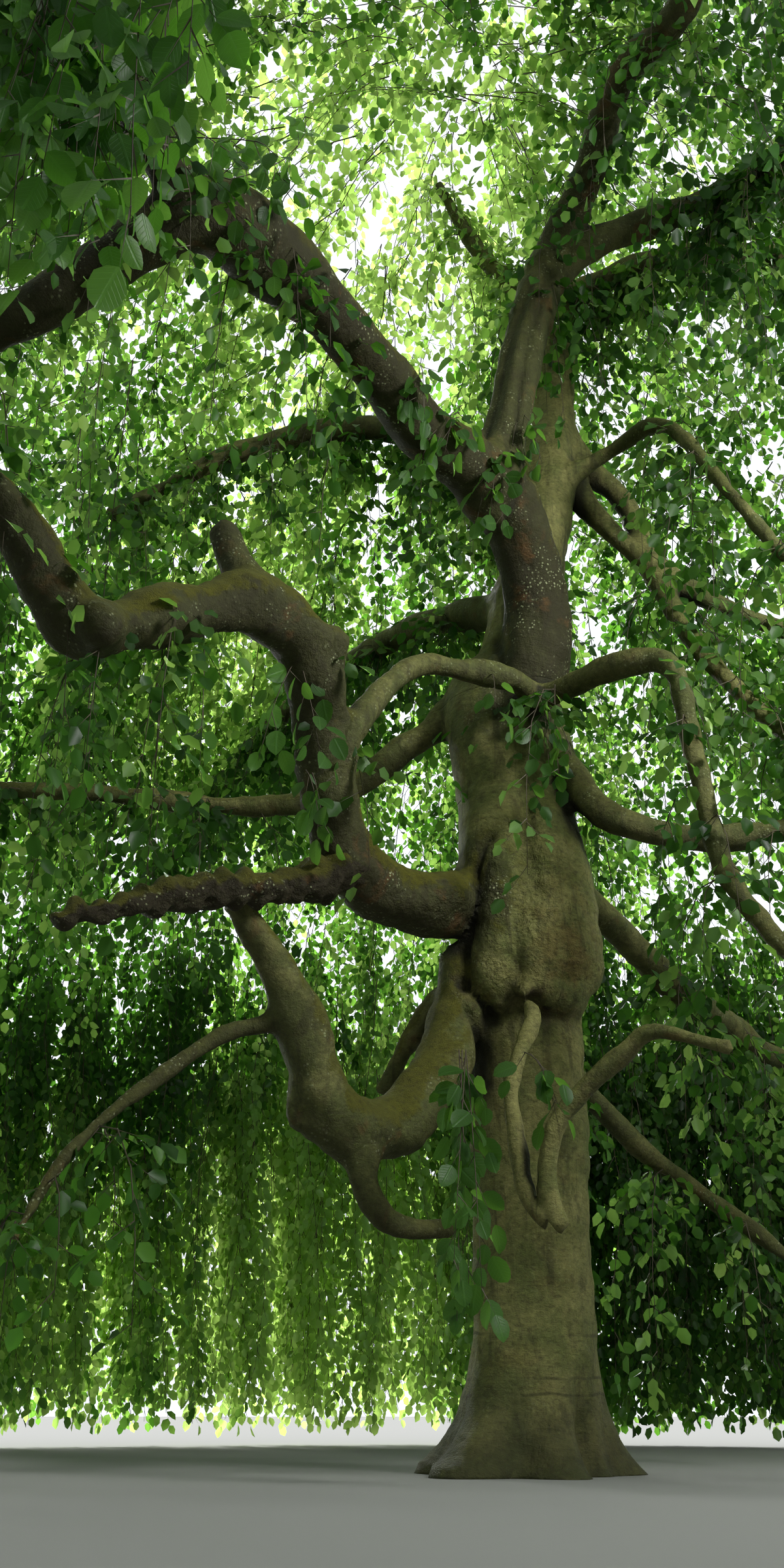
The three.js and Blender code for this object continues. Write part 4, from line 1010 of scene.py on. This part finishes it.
class Tree:
    """Adds nodes to a material's or a group's node tree."""

    def __init__(self, tree):
        self.tree = tree

    def link(self, output, target):
        """Runs an output into an input."""
        self.tree.links.new(output, target)

    def node(self, kind, inputs=None, **settings):
        """A node whose inputs are given as sockets, which are linked, or as values."""
        made = self.tree.nodes.new("ShaderNode" + kind)
        for name, value in settings.items():
            setattr(made, name, value)
        for name, value in (inputs or {}).items():
            if isinstance(value, bpy.types.NodeSocket):
                self.link(value, made.inputs[name])
            else:
                made.inputs[name].default_value = value
        return made

    def group(self, group, **inputs):
        """A node group with its inputs, which start with a capital."""
        named = {name.capitalize(): value for name, value in inputs.items()}
        return self.node("Group", named, node_tree=group)

    def place(self):
        """Where a point of the piece is."""
        return self.node("TexCoord").outputs["Object"]

    def attribute(self, name):
        """A number that the mesh carries."""
        return self.node("Attribute", attribute_name=name).outputs["Fac"]

    def number(self, operation, first, second=0.5, third=0.5, clamp=False):
        """One operation on numbers."""
        made = self.node("Math", {0: first, 1: second, 2: third}, operation=operation, use_clamp=clamp)
        return made.outputs[0]

    def times(self, first, second):
        """Two numbers multiplied."""
        return self.number("MULTIPLY", first, second)

    def scaled(self, value, factor, more, clamp=False):
        """A number times a factor, plus more."""
        return self.number("MULTIPLY_ADD", value, factor, more, clamp)

    def between(self, value, low, high):
        """0 at low and 1 at high, with a smooth step between."""
        made = self.node("MapRange", {"Value": value, "From Min": low, "From Max": high},
                         interpolation_type="SMOOTHSTEP")
        return made.outputs[0]

    def mix(self, share, first, second):
        """One colour, and another by a share."""
        made = self.node("Mix", {0: share, 6: first, 7: second}, data_type="RGBA")
        return made.outputs[2]

    def laid(self, colour, over, mask, strength):
        """A colour with another laid over it where a mask says, at most by a strength."""
        return self.mix(self.times(mask, strength), colour, over)

    def stretched(self, vector, scale):
        """A place with its axes scaled."""
        return self.node("Mapping", {"Vector": vector, "Scale": scale}).outputs[0]

    def noise(self, vector, scale, detail=3.0, roughness=0.55, distortion=0.0):
        """Soft noise from 0 to 1, with about scale lumps to the metre."""
        inputs = {"Vector": vector, "Scale": scale, "Detail": detail, "Roughness": roughness,
                  "Distortion": distortion}
        return self.node("TexNoise", inputs).outputs["Fac"]

    def bump(self, height, strength, distance):
        """A normal that follows a height."""
        return self.node("Bump", {"Height": height, "Strength": strength, "Distance": distance}).outputs[0]


def new_group(name, inputs, outputs):
    """An empty node group with its sockets, given as pairs of a name and a kind."""
    group = bpy.data.node_groups.new(name, "ShaderNodeTree")
    for label, kind in inputs:
        group.interface.new_socket(label, in_out="INPUT", socket_type="NodeSocket" + kind)
    for label, kind in outputs:
        group.interface.new_socket(label, in_out="OUTPUT", socket_type="NodeSocket" + kind)
    tree = Tree(group)
    return group, tree, group.nodes.new("NodeGroupInput").outputs, group.nodes.new("NodeGroupOutput").inputs


def grain_group():
    """The smooth bark's grain: fine rings round the limb, streaks down it, small warts and pores."""
    group, tree, given, out = new_group("bark_grain", [("Place", "Vector"), ("Along", "Float")],
                                        [("Height", "Float"), ("Streak", "Float")])
    parts = tree.node("SeparateXYZ", {0: given["Place"]}).outputs
    down = tree.times(given["Along"], RINGS_CLOSER)
    ring_place = tree.node("CombineXYZ", {0: parts[0], 1: parts[1], 2: down}).outputs[0]
    rings = tree.noise(ring_place, scale=3.2, detail=4.0, roughness=0.6, distortion=0.4)
    drawn_down = tree.stretched(given["Place"], (1, 1, 0.12))
    streak = tree.noise(drawn_down, scale=13.0, detail=4.0, roughness=0.6, distortion=0.6)
    warts = tree.noise(given["Place"], scale=34.0, detail=3.0, roughness=0.6)
    pores = tree.noise(given["Place"], scale=120.0, detail=2.0, roughness=0.5)
    height = tree.scaled(rings, 0.3, tree.times(streak, 0.7))
    height = tree.scaled(warts, 0.5, height)
    tree.link(tree.scaled(pores, 0.16, height), out["Height"])
    tree.link(streak, out["Streak"])
    return group


def moss_group():
    """Where moss sits: on upward faces of damp limbs, in ragged cushions."""
    group, tree, given, out = new_group("moss", [("Place", "Vector"), ("Upward", "Float"), ("Damp", "Float")],
                                        [("Mask", "Float"), ("Height", "Float")])
    ragged = tree.noise(given["Place"], scale=7.0, detail=5.0, roughness=0.65)
    sit = tree.scaled(given["Upward"], 0.55, tree.scaled(ragged, 1.1, -0.36))
    wet = tree.times(tree.between(sit, 0.2, 0.42), given["Damp"])
    tufts = tree.noise(given["Place"], scale=150.0, detail=3.0, roughness=0.7)
    tree.link(wet, out["Mask"])
    tree.link(tree.times(wet, tufts), out["Height"])
    return group


def lichen_group():
    """Pale specks and small crusts in loose swarms."""
    group, tree, given, out = new_group("lichen", [("Place", "Vector"), ("Amount", "Float")],
                                        [("Mask", "Float")])
    cells = tree.node("TexVoronoi", {"Vector": given["Place"], "Scale": 42.0, "Randomness": 1.0})
    specks = tree.between(cells.outputs["Distance"], 0.34, 0.2)
    swarm = tree.between(tree.noise(given["Place"], scale=5.0, detail=4.0, roughness=0.6), 0.5, 0.64)
    tree.link(tree.times(tree.times(specks, swarm), given["Amount"]), out["Mask"])
    return group


GRAIN, MOSS, LICHEN = grain_group(), moss_group(), lichen_group()


def new_material(name):
    """A material with its tree, its surface shader and its output."""
    material = bpy.data.materials.new(name)
    material.use_nodes = True
    tree = material.node_tree
    return material, Tree(tree), tree.nodes["Principled BSDF"], tree.nodes["Material Output"]


BARK_PALE = (0.215, 0.203, 0.07, 1)
BARK_GREEN = (0.108, 0.122, 0.034, 1)
BARK_DARK = (0.045, 0.042, 0.015, 1)
# Dark brown, also used as painted shade on limbs under the crown
BARK_BROWN_AND_SHADE = (0.021, 0.016, 0.007, 1)
BARK_RUST = (0.12, 0.058, 0.018, 1)
BARK_SHADE_AND_MOTTLE = (0.03, 0.026, 0.01, 1)
BARK_CREASE_SHADE = (0.008, 0.007, 0.004, 1)
BARK_FOOT_DARK = (0.022, 0.023, 0.008, 1)
MOSS_GREEN = (0.105, 0.1, 0.011, 1)
BARK_BLUSH = (0.2, 0.115, 0.045, 1)
LICHEN_PALE = (0.3, 0.32, 0.18, 1)
MOTTLE_LIGHTER = (1.45, 1.45, 1.45)
BRANCH_SCARS = [(0.68, 1.1), (0.46, 1.9), (0.38, 2.6)]  # height of a line on the trunk, how broken
SCAR_WOBBLE = 0.09  # how far up and down the lines run
FOOT_DARK_UP_TO, FOOT_DARK_BELOW = 0.95, 0.3  # the height where the foot's darker colour ends, and where it's full
BARK_SHINE, LEAF_SHINE = 0.22, 0.3
BARK_RELIEF = 0.024  # depth of the bump's full height, in metres
TWIG_DARK, TWIG_LIGHT = (0.03, 0.022, 0.013, 1), (0.085, 0.065, 0.035, 1)


def bark_ground(tree, place, brown, streak, age):
    """The bark's colour: pale and green clouds, dark blots and streaks, and brown parts, whose dark brown is
    partly painted shade on limbs under the crown.
    """
    clouds = tree.between(tree.noise(place, scale=2.6, detail=5.0, roughness=0.6, distortion=0.5), 0.36, 0.62)
    colour = tree.mix(tree.scaled(brown, -0.8, clouds, clamp=True), BARK_GREEN, BARK_PALE)
    blots = tree.between(tree.noise(place, scale=6.5, detail=6.0, roughness=0.65, distortion=0.8), 0.53, 0.7)
    colour = tree.laid(colour, BARK_DARK, blots, strength=0.55)
    colour = tree.laid(colour, BARK_DARK, tree.between(streak, 0.52, 0.68), strength=0.6)
    # Dark brown by the limb's number: partly the bark's own brown, partly painted shade under the crown
    browned = tree.scaled(brown, 0.75, tree.scaled(clouds, -0.15, age), clamp=True)
    return tree.mix(browned, colour, BARK_BROWN_AND_SHADE)


def bark_growths(tree, colour, place, brown, upward, lichen, moss):
    """Rust on undersides and brown limbs, and lichen and moss over it."""
    rusty = tree.between(tree.noise(place, scale=3.7, detail=4.0, roughness=0.6, distortion=0.4), 0.56, 0.68)
    under = tree.between(upward, 0.35, -0.5)
    rust = tree.times(rusty, tree.scaled(under, 0.5, tree.times(brown, 0.3)))
    colour = tree.mix(rust, colour, BARK_RUST)
    colour = tree.mix(lichen, colour, LICHEN_PALE)
    return tree.mix(moss, colour, MOSS_GREEN)


def bark_shade(tree, colour, place, upward):
    """Painted shade: darker undersides, and nearly black hollows and creases, the creases with a ragged edge.
    """
    # Painted shade on the undersides of limbs
    colour = tree.laid(colour, BARK_SHADE_AND_MOTTLE, tree.between(upward, 0.1, -0.9), strength=0.45)
    # Painted shade, nearly black, in hollows between limbs
    colour = tree.laid(colour, BARK_CREASE_SHADE, tree.between(tree.attribute("sunk"), 0.12, 0.7), strength=0.9)
    # Painted shade, nearly black, along the creases, with a ragged edge
    ragged = tree.number("ADD", tree.noise(place, scale=22.0), 0.4)
    crease_shade_mask = tree.number("MULTIPLY", tree.attribute("pressed"), ragged, clamp=True)
    return tree.mix(crease_shade_mask, colour, BARK_CREASE_SHADE)


def trunk_marks(tree, colour, place):
    """Old branch scars as broken, wavy lines round the trunk, and a foot that is darker towards the ground.
    """
    height = tree.node("SeparateXYZ", {0: place}).outputs[2]
    wobble = tree.noise(place, scale=2.2)
    for scar_height, broken in BRANCH_SCARS:
        scar = tree.scaled(wobble, SCAR_WOBBLE, scar_height - SCAR_WOBBLE / 2)
        offset = tree.number("SUBTRACT", height, scar)
        line = tree.between(tree.number("ABSOLUTE", offset), 0.011, 0.004)
        parts = tree.between(tree.noise(place, scale=broken, detail=2.0), 0.42, 0.5)
        colour = tree.laid(colour, BARK_DARK, tree.times(line, parts), strength=0.6)
    # The bark turns darker towards the ground, its edge made uneven by noise
    low = tree.scaled(tree.noise(place, scale=4.0), 0.5, height)
    return tree.laid(colour, BARK_FOOT_DARK, tree.between(low, FOOT_DARK_UP_TO, FOOT_DARK_BELOW), strength=0.78)


def bark_mottling(tree, colour, place, mottled):
    """A warm blush on the collar's lobe, pits where the bark is rugged, and dark and light mottling."""
    patchy = tree.between(tree.noise(place, scale=7.0, detail=5.0, roughness=0.7), 0.42, 0.62)
    colour = tree.laid(colour, BARK_BLUSH, tree.times(tree.attribute("blush"), patchy), strength=0.45)
    pits = tree.between(tree.noise(place, scale=21.0, detail=5.0, roughness=0.75, distortion=0.4), 0.55, 0.68)
    pitted = tree.times(pits, tree.scaled(tree.attribute("rugged"), 0.55, 0.12))
    colour = tree.mix(pitted, colour, BARK_DARK)
    # Dark mottling of the bark itself, in the same colour as the painted shade
    colour = tree.laid(colour, BARK_SHADE_AND_MOTTLE, tree.between(mottled, 0.48, 0.66), strength=0.5)
    lighter = tree.node("VectorMath", {0: colour, 1: MOTTLE_LIGHTER}, operation="MULTIPLY").outputs[0]
    return tree.mix(tree.between(mottled, 0.47, 0.3), colour, lighter)


def bark_height(tree, place, mottled, grain, lichen, moss):
    """The bump's height: the grain with moss and lichen, knobs where the bark is rugged, and mottling."""
    small = tree.noise(place, scale=19.0, detail=4.0, roughness=0.7)
    large = tree.noise(place, scale=8.0, detail=4.0, roughness=0.65, distortion=0.5)
    knobs = tree.times(tree.scaled(small, 0.6, large), tree.attribute("rugged"))
    height = tree.scaled(moss, 1.3, grain)
    height = tree.scaled(lichen, 0.25, height)
    height = tree.scaled(knobs, 3.2, height)
    return tree.scaled(mottled, -0.6, height)


def bark_material(name, age=0.0):
    """Smooth beech bark: grey and olive clouds, dark streaks, rings, brown and rusty parts, moss and lichen,
    and painted shade on undersides, in hollows, along creases and on limbs under the crown. age makes it
    darker, browner and rougher."""
    material, tree, surface, _ = new_material(name)
    place, brown, upward = tree.place(), tree.attribute("brown"), tree.attribute("upward")
    grain = tree.group(GRAIN, place=place, along=tree.attribute("along")).outputs
    lichen = tree.group(LICHEN, place=place, amount=tree.scaled(brown, 0.7, 0.2)).outputs["Mask"]
    moss = tree.group(MOSS, place=place, upward=upward, damp=tree.attribute("damp")).outputs
    drawn = tree.stretched(place, (1, 1, 1.6))
    mottled = tree.noise(drawn, scale=26.0, detail=6.0, roughness=0.75, distortion=0.3)
    colour = bark_ground(tree, place, brown, grain["Streak"], age)
    colour = bark_growths(tree, colour, place, brown, upward, lichen, moss["Mask"])
    colour = bark_shade(tree, colour, place, upward)
    colour = trunk_marks(tree, colour, place)
    colour = bark_mottling(tree, colour, place, mottled)
    tree.link(colour, surface.inputs["Base Color"])
    rough = tree.scaled(tree.noise(place, scale=11.0), 0.3, 0.5 + 0.1 * age)
    tree.link(rough, surface.inputs["Roughness"])
    height = bark_height(tree, place, mottled, grain["Height"], lichen, moss["Height"])
    tree.link(tree.bump(height, 0.75 + 0.2 * age, BARK_RELIEF), surface.inputs["Normal"])
    surface.inputs["Specular IOR Level"].default_value = BARK_SHINE
    return material


def twig_material():
    """The twigs' brown bark, a little lighter and darker by place."""
    material, tree, surface, _ = new_material("twig_bark")
    colour = tree.mix(tree.noise(tree.place(), scale=3.0), TWIG_DARK, TWIG_LIGHT)
    tree.link(colour, surface.inputs["Base Color"])
    surface.inputs["Roughness"].default_value = 0.7
    return material


def leaf_veins(tree):
    """Where the midrib and the side veins are, by the leaf's own across and along."""
    across = tree.number("ABSOLUTE", tree.attribute("across"))
    slanted = tree.scaled(across, -0.55, tree.attribute("along"))
    phase = tree.number("PINGPONG", tree.times(slanted, SIDE_VEINS * 2.0), 1.0)
    return tree.number("MAXIMUM", tree.between(across, 0.07, 0.02), tree.between(phase, 0.2, 0.05))


def shade_of(colour, factor):
    """A colour darker or lighter by a factor."""
    return (*(factor * part for part in colour), 1)


def leaf_material(name, upper, through, veined=False):
    """A leaf's look: a slightly glossy surface mixed with light that comes through it. On veined leaves the
    veins are lighter and stand out of the leaf."""
    material, tree, surface, output = new_material(name)
    change = tree.noise(tree.place(), scale=9.0, detail=2.0)
    colour = tree.mix(change, shade_of(upper, 0.72), shade_of(upper, 1.25))
    if veined:
        veins = leaf_veins(tree)
        colour = tree.laid(colour, shade_of(upper, 1.9), veins, strength=0.5)
        tree.link(tree.bump(veins, 0.5, 0.003), surface.inputs["Normal"])
    tree.link(colour, surface.inputs["Base Color"])
    tree.link(tree.scaled(change, 0.25, 0.3), surface.inputs["Roughness"])
    surface.inputs["Specular IOR Level"].default_value = LEAF_SHINE
    glow = tree.node("BsdfTranslucent", {"Color": (*through, 1)})
    blend = tree.node("MixShader", {0: LEAF_GLOW, 1: surface.outputs[0], 2: glow.outputs[0]})
    tree.link(blend.outputs[0], output.inputs["Surface"])
    return material


def plain_material(name, colour):
    """A plain matt colour."""
    material, _, surface, _ = new_material(name)
    surface.inputs["Base Color"].default_value = (*colour, 1)
    surface.inputs["Roughness"].default_value = 0.9
    surface.inputs["Specular IOR Level"].default_value = 0.0
    return material


# Parts of rings inside the tent that hold foliage: azimuth, distances, heights and number of strands
INNER_SPACES = [(3.12, (2.6, 5.4), (3.1, 7.8), 40), (3.2, (3.6, 5.6), (2.3, 4.8), 20),
                (5.7, (1.4, 3.2), (6.2, 8.6), 7), (3.7, (3.9, 5.4), (0.6, 2.6), 4),
                (2.75, (4.2, 6.0), (0.6, 3.4), 9), (2.7, (4.0, 6.2), (3.4, 6.4), 8),
                (5.55, (1.8, 4.3), (2.2, 5.4), 8), (5.6, (2.6, 4.5), (0.5, 1.9), 4)]

# Sprays in front of limbs: where they start and end, and how many shoots
CLUSTERS = [((-.38, -1.2, 1.95), (-.46, -1.42, .8), 4), ((-.02, -1.0, 2.0), (.12, -1.05, 1.7), 2),
            ((-1.22, -1.8, 3.95), (-1.25, -1.85, 3.3), 2), ((-1.2, -1.5, 3.4), (-1.2, -1.55, 3.0), 2),
            ((-.12, -.75, 4.4), (-.16, -.9, 4.1), 1), ((.2, -.6, 4.35), (.22, -.75, 3.8), 2),
            ((-.3, -1.3, 6.0), (-.5, -1.45, 5.45), 4), ((-.05, -.95, 6.0), (-.12, -1.1, 5.35), 3),
            ((-.62, -1.7, 6.0), (-.7, -1.8, 5.6), 3), ((.1, -.9, 6.3), (.12, -1.05, 5.8), 3)]

# Limbs that carry few shoots
SPARSE = ("great_bough", "great_high_arm", "serpentine", "bridge", "left_far", "riser", "right_middle",
          "right_upper", "right_drooping", "right_high", "side_limb")

# How many shoots a limb carries by the metre, where that isn't the usual number
SHOOTS = {**dict.fromkeys(SPARSE, 5), "bridge": 2.5, "riser_right": 20, "leader_right": 18, "serpentine": 3,
          "great_bough": 3, "right_foot": 4, "right_low": 6, "side_limb": 3, "upper_left": 16,
          "great_high_arm": 14}

# Limbs that carry no shoots
BARE = ("trunk", "hooked", "hanging", "cradle", "cradle_spur", "cradle_heel", "cradle_back", "great_knot",
        "serpentine_stub", "serpentine_nub", "serpentine_lump")

# The directions that the picture shows and the others, round the axis
SEEN = (1.02, 2.28)
UNSEEN = (2.28, 1.02 + TAU)

# The curtain in the picture: strands, azimuths, heights of their tops and feet, depth, and what they carry
SEEN_CURTAIN = [(420, SEEN, (3.6, 5.6), (0.2, 0.75), 1.7, LOW_SPRAYS),
                (95, (1.16, 2.28), (5.5, 9.4), (2.8, 5.6), 2.0, HIGH_SPRAYS),
                (70, (1.8, 2.3), (8.5, 9.6), (5.6, 6.8), 2.2, HIGH_SPRAYS)]

# How many strands there are in the dome and the curtain, in the picture and beside it, and how deep they go
SEEN_DOME, SEEN_DOME_DEPTH = 2150, 1.6
FAR_DOME, FAR_DOME_DEPTH = 1250, 0.6
OUTER_CURTAIN, OUTER_DEPTH = 120, 0.3
FAR_CURTAIN, FAR_CURTAIN_DEPTH = 560, 1.1

# Shoots near the eye: how many, from which span of the limb, heights in the picture, metres aside, what they
# carry, and tone, which is below 0 as painted shade on the leaves near the eye
NEAR_SHOOTS = [(62, (0.5, 0.8), (0.37, 0.62), (-0.1, 0.65), NEAR_SPRAYS, -0.45),
               (24, (0.2, 0.5), (0.38, 0.52), (-0.5, 0.7), NEAREST_SPRAYS, -0.4)]

# From the darkest sprays to the lightest, lit and shaded copies of one leaf look for random differences and
# painted light and shade: the colour of the leaf, and of the light that comes through it
LEAF_TINTS = [
    ((0.016, 0.045, 0.009), (0.050, 0.160, 0.012)),
    ((0.024, 0.070, 0.014), (0.090, 0.265, 0.018)),
    ((0.038, 0.094, 0.021), (0.160, 0.370, 0.040)),
    ((0.056, 0.124, 0.030), (0.250, 0.480, 0.065)),
    ((0.084, 0.170, 0.042), (0.375, 0.620, 0.110)),
    ((0.130, 0.245, 0.062), (0.545, 0.780, 0.180)),
]
LEAF_GLOW = 0.5  # share of a leaf's look that is light from behind
SIDE_VEINS = 8  # pairs of side veins on a leaf

FOLIAGE_STARTS = ("low_curtain", "high_curtain", "dome_", "inner_")
MASSES = [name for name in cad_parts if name.startswith(FOLIAGE_STARTS)]
LIMB_NODES = [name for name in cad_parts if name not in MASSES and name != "mossy_snag"]


# The pieces

def finished(piece):
    """Ties a piece to the tree's body."""
    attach(piece, "root")
    return piece


def make_bark():
    """The bark of the trunk and limbs, cut in two at a height so that neither piece is too large."""
    bark = bark_material("bark")
    lower = grown_skin()
    lower.name = "lower_bark"
    cut_flat(lower, 0.0, 1)
    upper = placed("upper_bark", lower.data.copy())
    cut_flat(lower, SKIN_SPLIT, -1)
    cut_flat(upper, SKIN_SPLIT, 1)
    for piece in (lower, upper):
        piece.data.shade_smooth()
        piece.data.materials.append(bark)
        finished(piece)
    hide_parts(*LIMB_NODES)


def make_snag():
    """The dead, mossy branch: a tube of its own with rugged bark."""
    line = spline(SNAG, SNAG_STEP)
    points, quads, caps = tube(line, SNAG_SIDES, lambda places: lumps(places, SNAG_LUMPS))
    nearest = ((points[:, None] - line[None, :, :3]) ** 2).sum(2).argmin(1)
    snag = make_piece("mossy_snag_bark", points, quads, caps, bark_material("old_bark", SNAG_AGE))
    give(snag, brown=SNAG_BROWN_AND_SHADE, damp=SNAG_DAMP, rugged=SNAG_RUGGED, blush=0.0, sunk=0.0, pressed=0.0,
         along=np.linalg.norm(points - points[0], axis=1), upward=unit(points - line[nearest, :3])[:, 2])
    finished(snag)
    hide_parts("mossy_snag")


def grow_around(foliage, chance):
    """The curtain and the dome. What the picture shows has small leaves, and many; the other sides have fewer
    and larger ones."""
    for count, azimuths, tops, feet, depth, sprays in SEEN_CURTAIN:
        foliage.grow("seen", chance, curtain_strands(chance, count, azimuths, tops, feet, depth), sprays)
    over = only(dome_strands(chance, SEEN_DOME, SEEN_DOME_DEPTH), True)
    over = thinned(chance, over, DOME_LIGHT, DOME_THIN, DOME_THIN_SHARE)
    foliage.grow("seen", chance, over, DOME_SPRAYS)
    outer = curtain_strands(chance, OUTER_CURTAIN, SEEN, (3.2, 5.0), (0.4, 0.9), OUTER_DEPTH)
    outer = thinned(chance, outer, LOW_LIGHT, OUTER_THIN, OUTER_THIN_SHARE)
    foliage.grow("far", chance, outer, OUTER_SPRAYS)
    beside = curtain_strands(chance, FAR_CURTAIN, UNSEEN, (3.8, 9.7), (0.4, 2.0), FAR_CURTAIN_DEPTH)
    foliage.grow("far", chance, beside, FAR_CURTAIN_SPRAYS)
    foliage.grow("far", chance, only(dome_strands(chance, FAR_DOME, FAR_DOME_DEPTH), False), FAR_DOME_SPRAYS)


def grow_inside(foliage, chance):
    """Foliage inside the tent: free strands, shoots on the limbs, and sprays in front of them."""
    for azimuth, distances, heights, count in INNER_SPACES:
        foliage.grow("seen", chance, inner_strands(chance, count, azimuth, distances, heights), INNER_SPRAYS)
    for name, line in LIMB_LINES.items():
        if name not in BARE:
            count = int(lengths_of(line[None, :, :3])[0] * SHOOTS.get(name, SHOOTS_USUAL))
            first = SPARSE_FROM if name in SPARSE else SHOOTS_FROM
            strands = limb_strands(chance, line[line[:, 2] > SHOOTS_OVER], count, (first, 1.0))
            foliage.grow("seen", chance, only(strands, True), LIMB_SPRAYS)
            foliage.grow("far", chance, only(strands, False)[::FAR_EACH], FAR_LIMB_SPRAYS)
    for start, end, count in CLUSTERS:
        cluster = cluster_strands(chance, start, end, count)
        foliage.grow("close", chance, cluster, CLUSTER_SPRAYS, CLUSTER_SHADE)


def grow_near(foliage, chance):
    """Shoots that hang close to the eye at the upper left."""
    for count, span, heights, aside, sprays, shade in NEAR_SHOOTS:
        shoots = near_shoots(chance, LIMB_LINES["great_high_arm"], count, span, heights, aside)
        foliage.grow("near", chance, shoots, sprays, shade)


def make_leaves(foliage):
    """The leaves by tint: each spray gets one by its tone, which is partly random and partly painted light
    and shade, so that each tint has the same number of leaves in the picture."""
    place, lie, normal, size, tone = foliage.all_leaves("seen")
    far_place, far_lie, far_normal, far_size, far_tone = foliage.all_leaves("far")
    steps = np.quantile(tone, np.linspace(0, 1, TINTS + 1)[1:-1])
    tint, far_tint = np.searchsorted(steps, tone), np.searchsorted(steps, far_tone)
    for index, colours in enumerate(LEAF_TINTS):
        mine, theirs = tint == index, far_tint == index
        own = leaf_mesh(place[mine], lie[mine], normal[mine], size[mine], LEAF_OUTLINE, LEAF_FACES)
        others = leaf_mesh(far_place[theirs], far_lie[theirs], far_normal[theirs], far_size[theirs],
                           KITE_OUTLINE, KITE_FACES)
        look = leaf_material("leaf_%d" % index, *colours)
        piece = finished(make_piece("leaves_%d" % index, *joined([own, others]), look))
        if index == 0:
            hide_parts(*MASSES)


def make_near_leaves(foliage):
    """The veined leaves near the eye and in front of the limbs, in two tints by their tone, which holds
    painted shade near the eye and painted light in front of the limbs.
    """
    place, lie, normal, size, tone = foliage.all_leaves("near", "close")
    for index, mine in enumerate((tone < 0, tone >= 0)):
        leaves = leaf_mesh(place[mine], lie[mine], normal[mine], size[mine], FINE_OUTLINE, FINE_FACES)
        look = leaf_material("near_leaf_%d" % index, *LEAF_TINTS[index + 1], veined=True)
        piece = finished(make_piece("near_leaves_%d" % index, *leaves, look))
        across, along = np.tile(FINE_OUTLINE[:, :2].T, mine.sum())
        give(piece, across=across, along=along)


def make_twigs(foliage):
    """The twigs and the strands that carry them."""
    look = twig_material()
    finished(make_piece("twigs", *foliage.all_twigs("seen", "close", "near"), look, smooth=False))
    finished(make_piece("outer_twigs", *foliage.all_twigs("far"), look, smooth=False))
    finished(make_piece("strands", *joined(foliage.rods), look))


def make_floor():
    """The plain pale floor, which is not a part of the tree."""
    bpy.ops.mesh.primitive_plane_add(size=FLOOR_SIZE)
    floor = bpy.context.object
    floor.name = "floor"
    floor.data.materials.append(plain_material("floor", FLOOR_COLOUR))


def add_light(name, kind, energy, way, place=(0, 0, 0), **settings):
    """A light whose source stands towards a direction."""
    data = bpy.data.lights.new(name, kind)
    data.energy = energy
    for setting, value in settings.items():
        setattr(data, setting, value)
    light = placed(name, data)
    light.location = place
    light.rotation_euler = Vector(way).to_track_quat("Z", "Y").to_euler()
    return light


def add_lights():
    """The pale sky, the sun over the crown, a lower one behind the curtain, and a soft lamp for the trunk."""
    world = bpy.data.worlds.new("studio")
    bpy.context.scene.world = world
    world.use_nodes = True
    sky = world.node_tree.nodes["Background"].inputs
    sky["Color"].default_value = (0.93, 0.97, 1.0, 1)
    sky["Strength"].default_value = 1.15
    add_light("sun", "SUN", 7.0, (-0.24, 0.78, 0.6), angle=math.radians(12))
    add_light("low_sun", "SUN", 7.0, (-0.42, 0.88, 0.21), angle=math.radians(16))
    fill = add_light("fill", "AREA", 690.0, (4.4, -5.2, 2.4), place=(4.5, -5.3, 6.3), size=1.8)
    fill.visible_camera = False


def add_camera():
    """The camera where the tree is seen from."""
    data = bpy.data.cameras.new("camera")
    data.sensor_width = SENSOR
    data.lens = SENSOR * FOCAL_SHARE
    camera = placed("camera", data)
    camera.location = EYE
    camera.rotation_euler = (math.pi / 2 + EYE_TILT, 0, 0)
    bpy.context.scene.camera = camera


make_bark()
make_snag()
crown = Foliage()
draws = np.random.default_rng(CROWN_SEED)
grow_around(crown, draws)
grow_inside(crown, draws)
grow_near(crown, draws)
make_leaves(crown)
make_near_leaves(crown)
make_twigs(crown)
make_floor()
add_lights()
add_camera()
bpy.context.scene.view_settings.view_transform = "Standard"
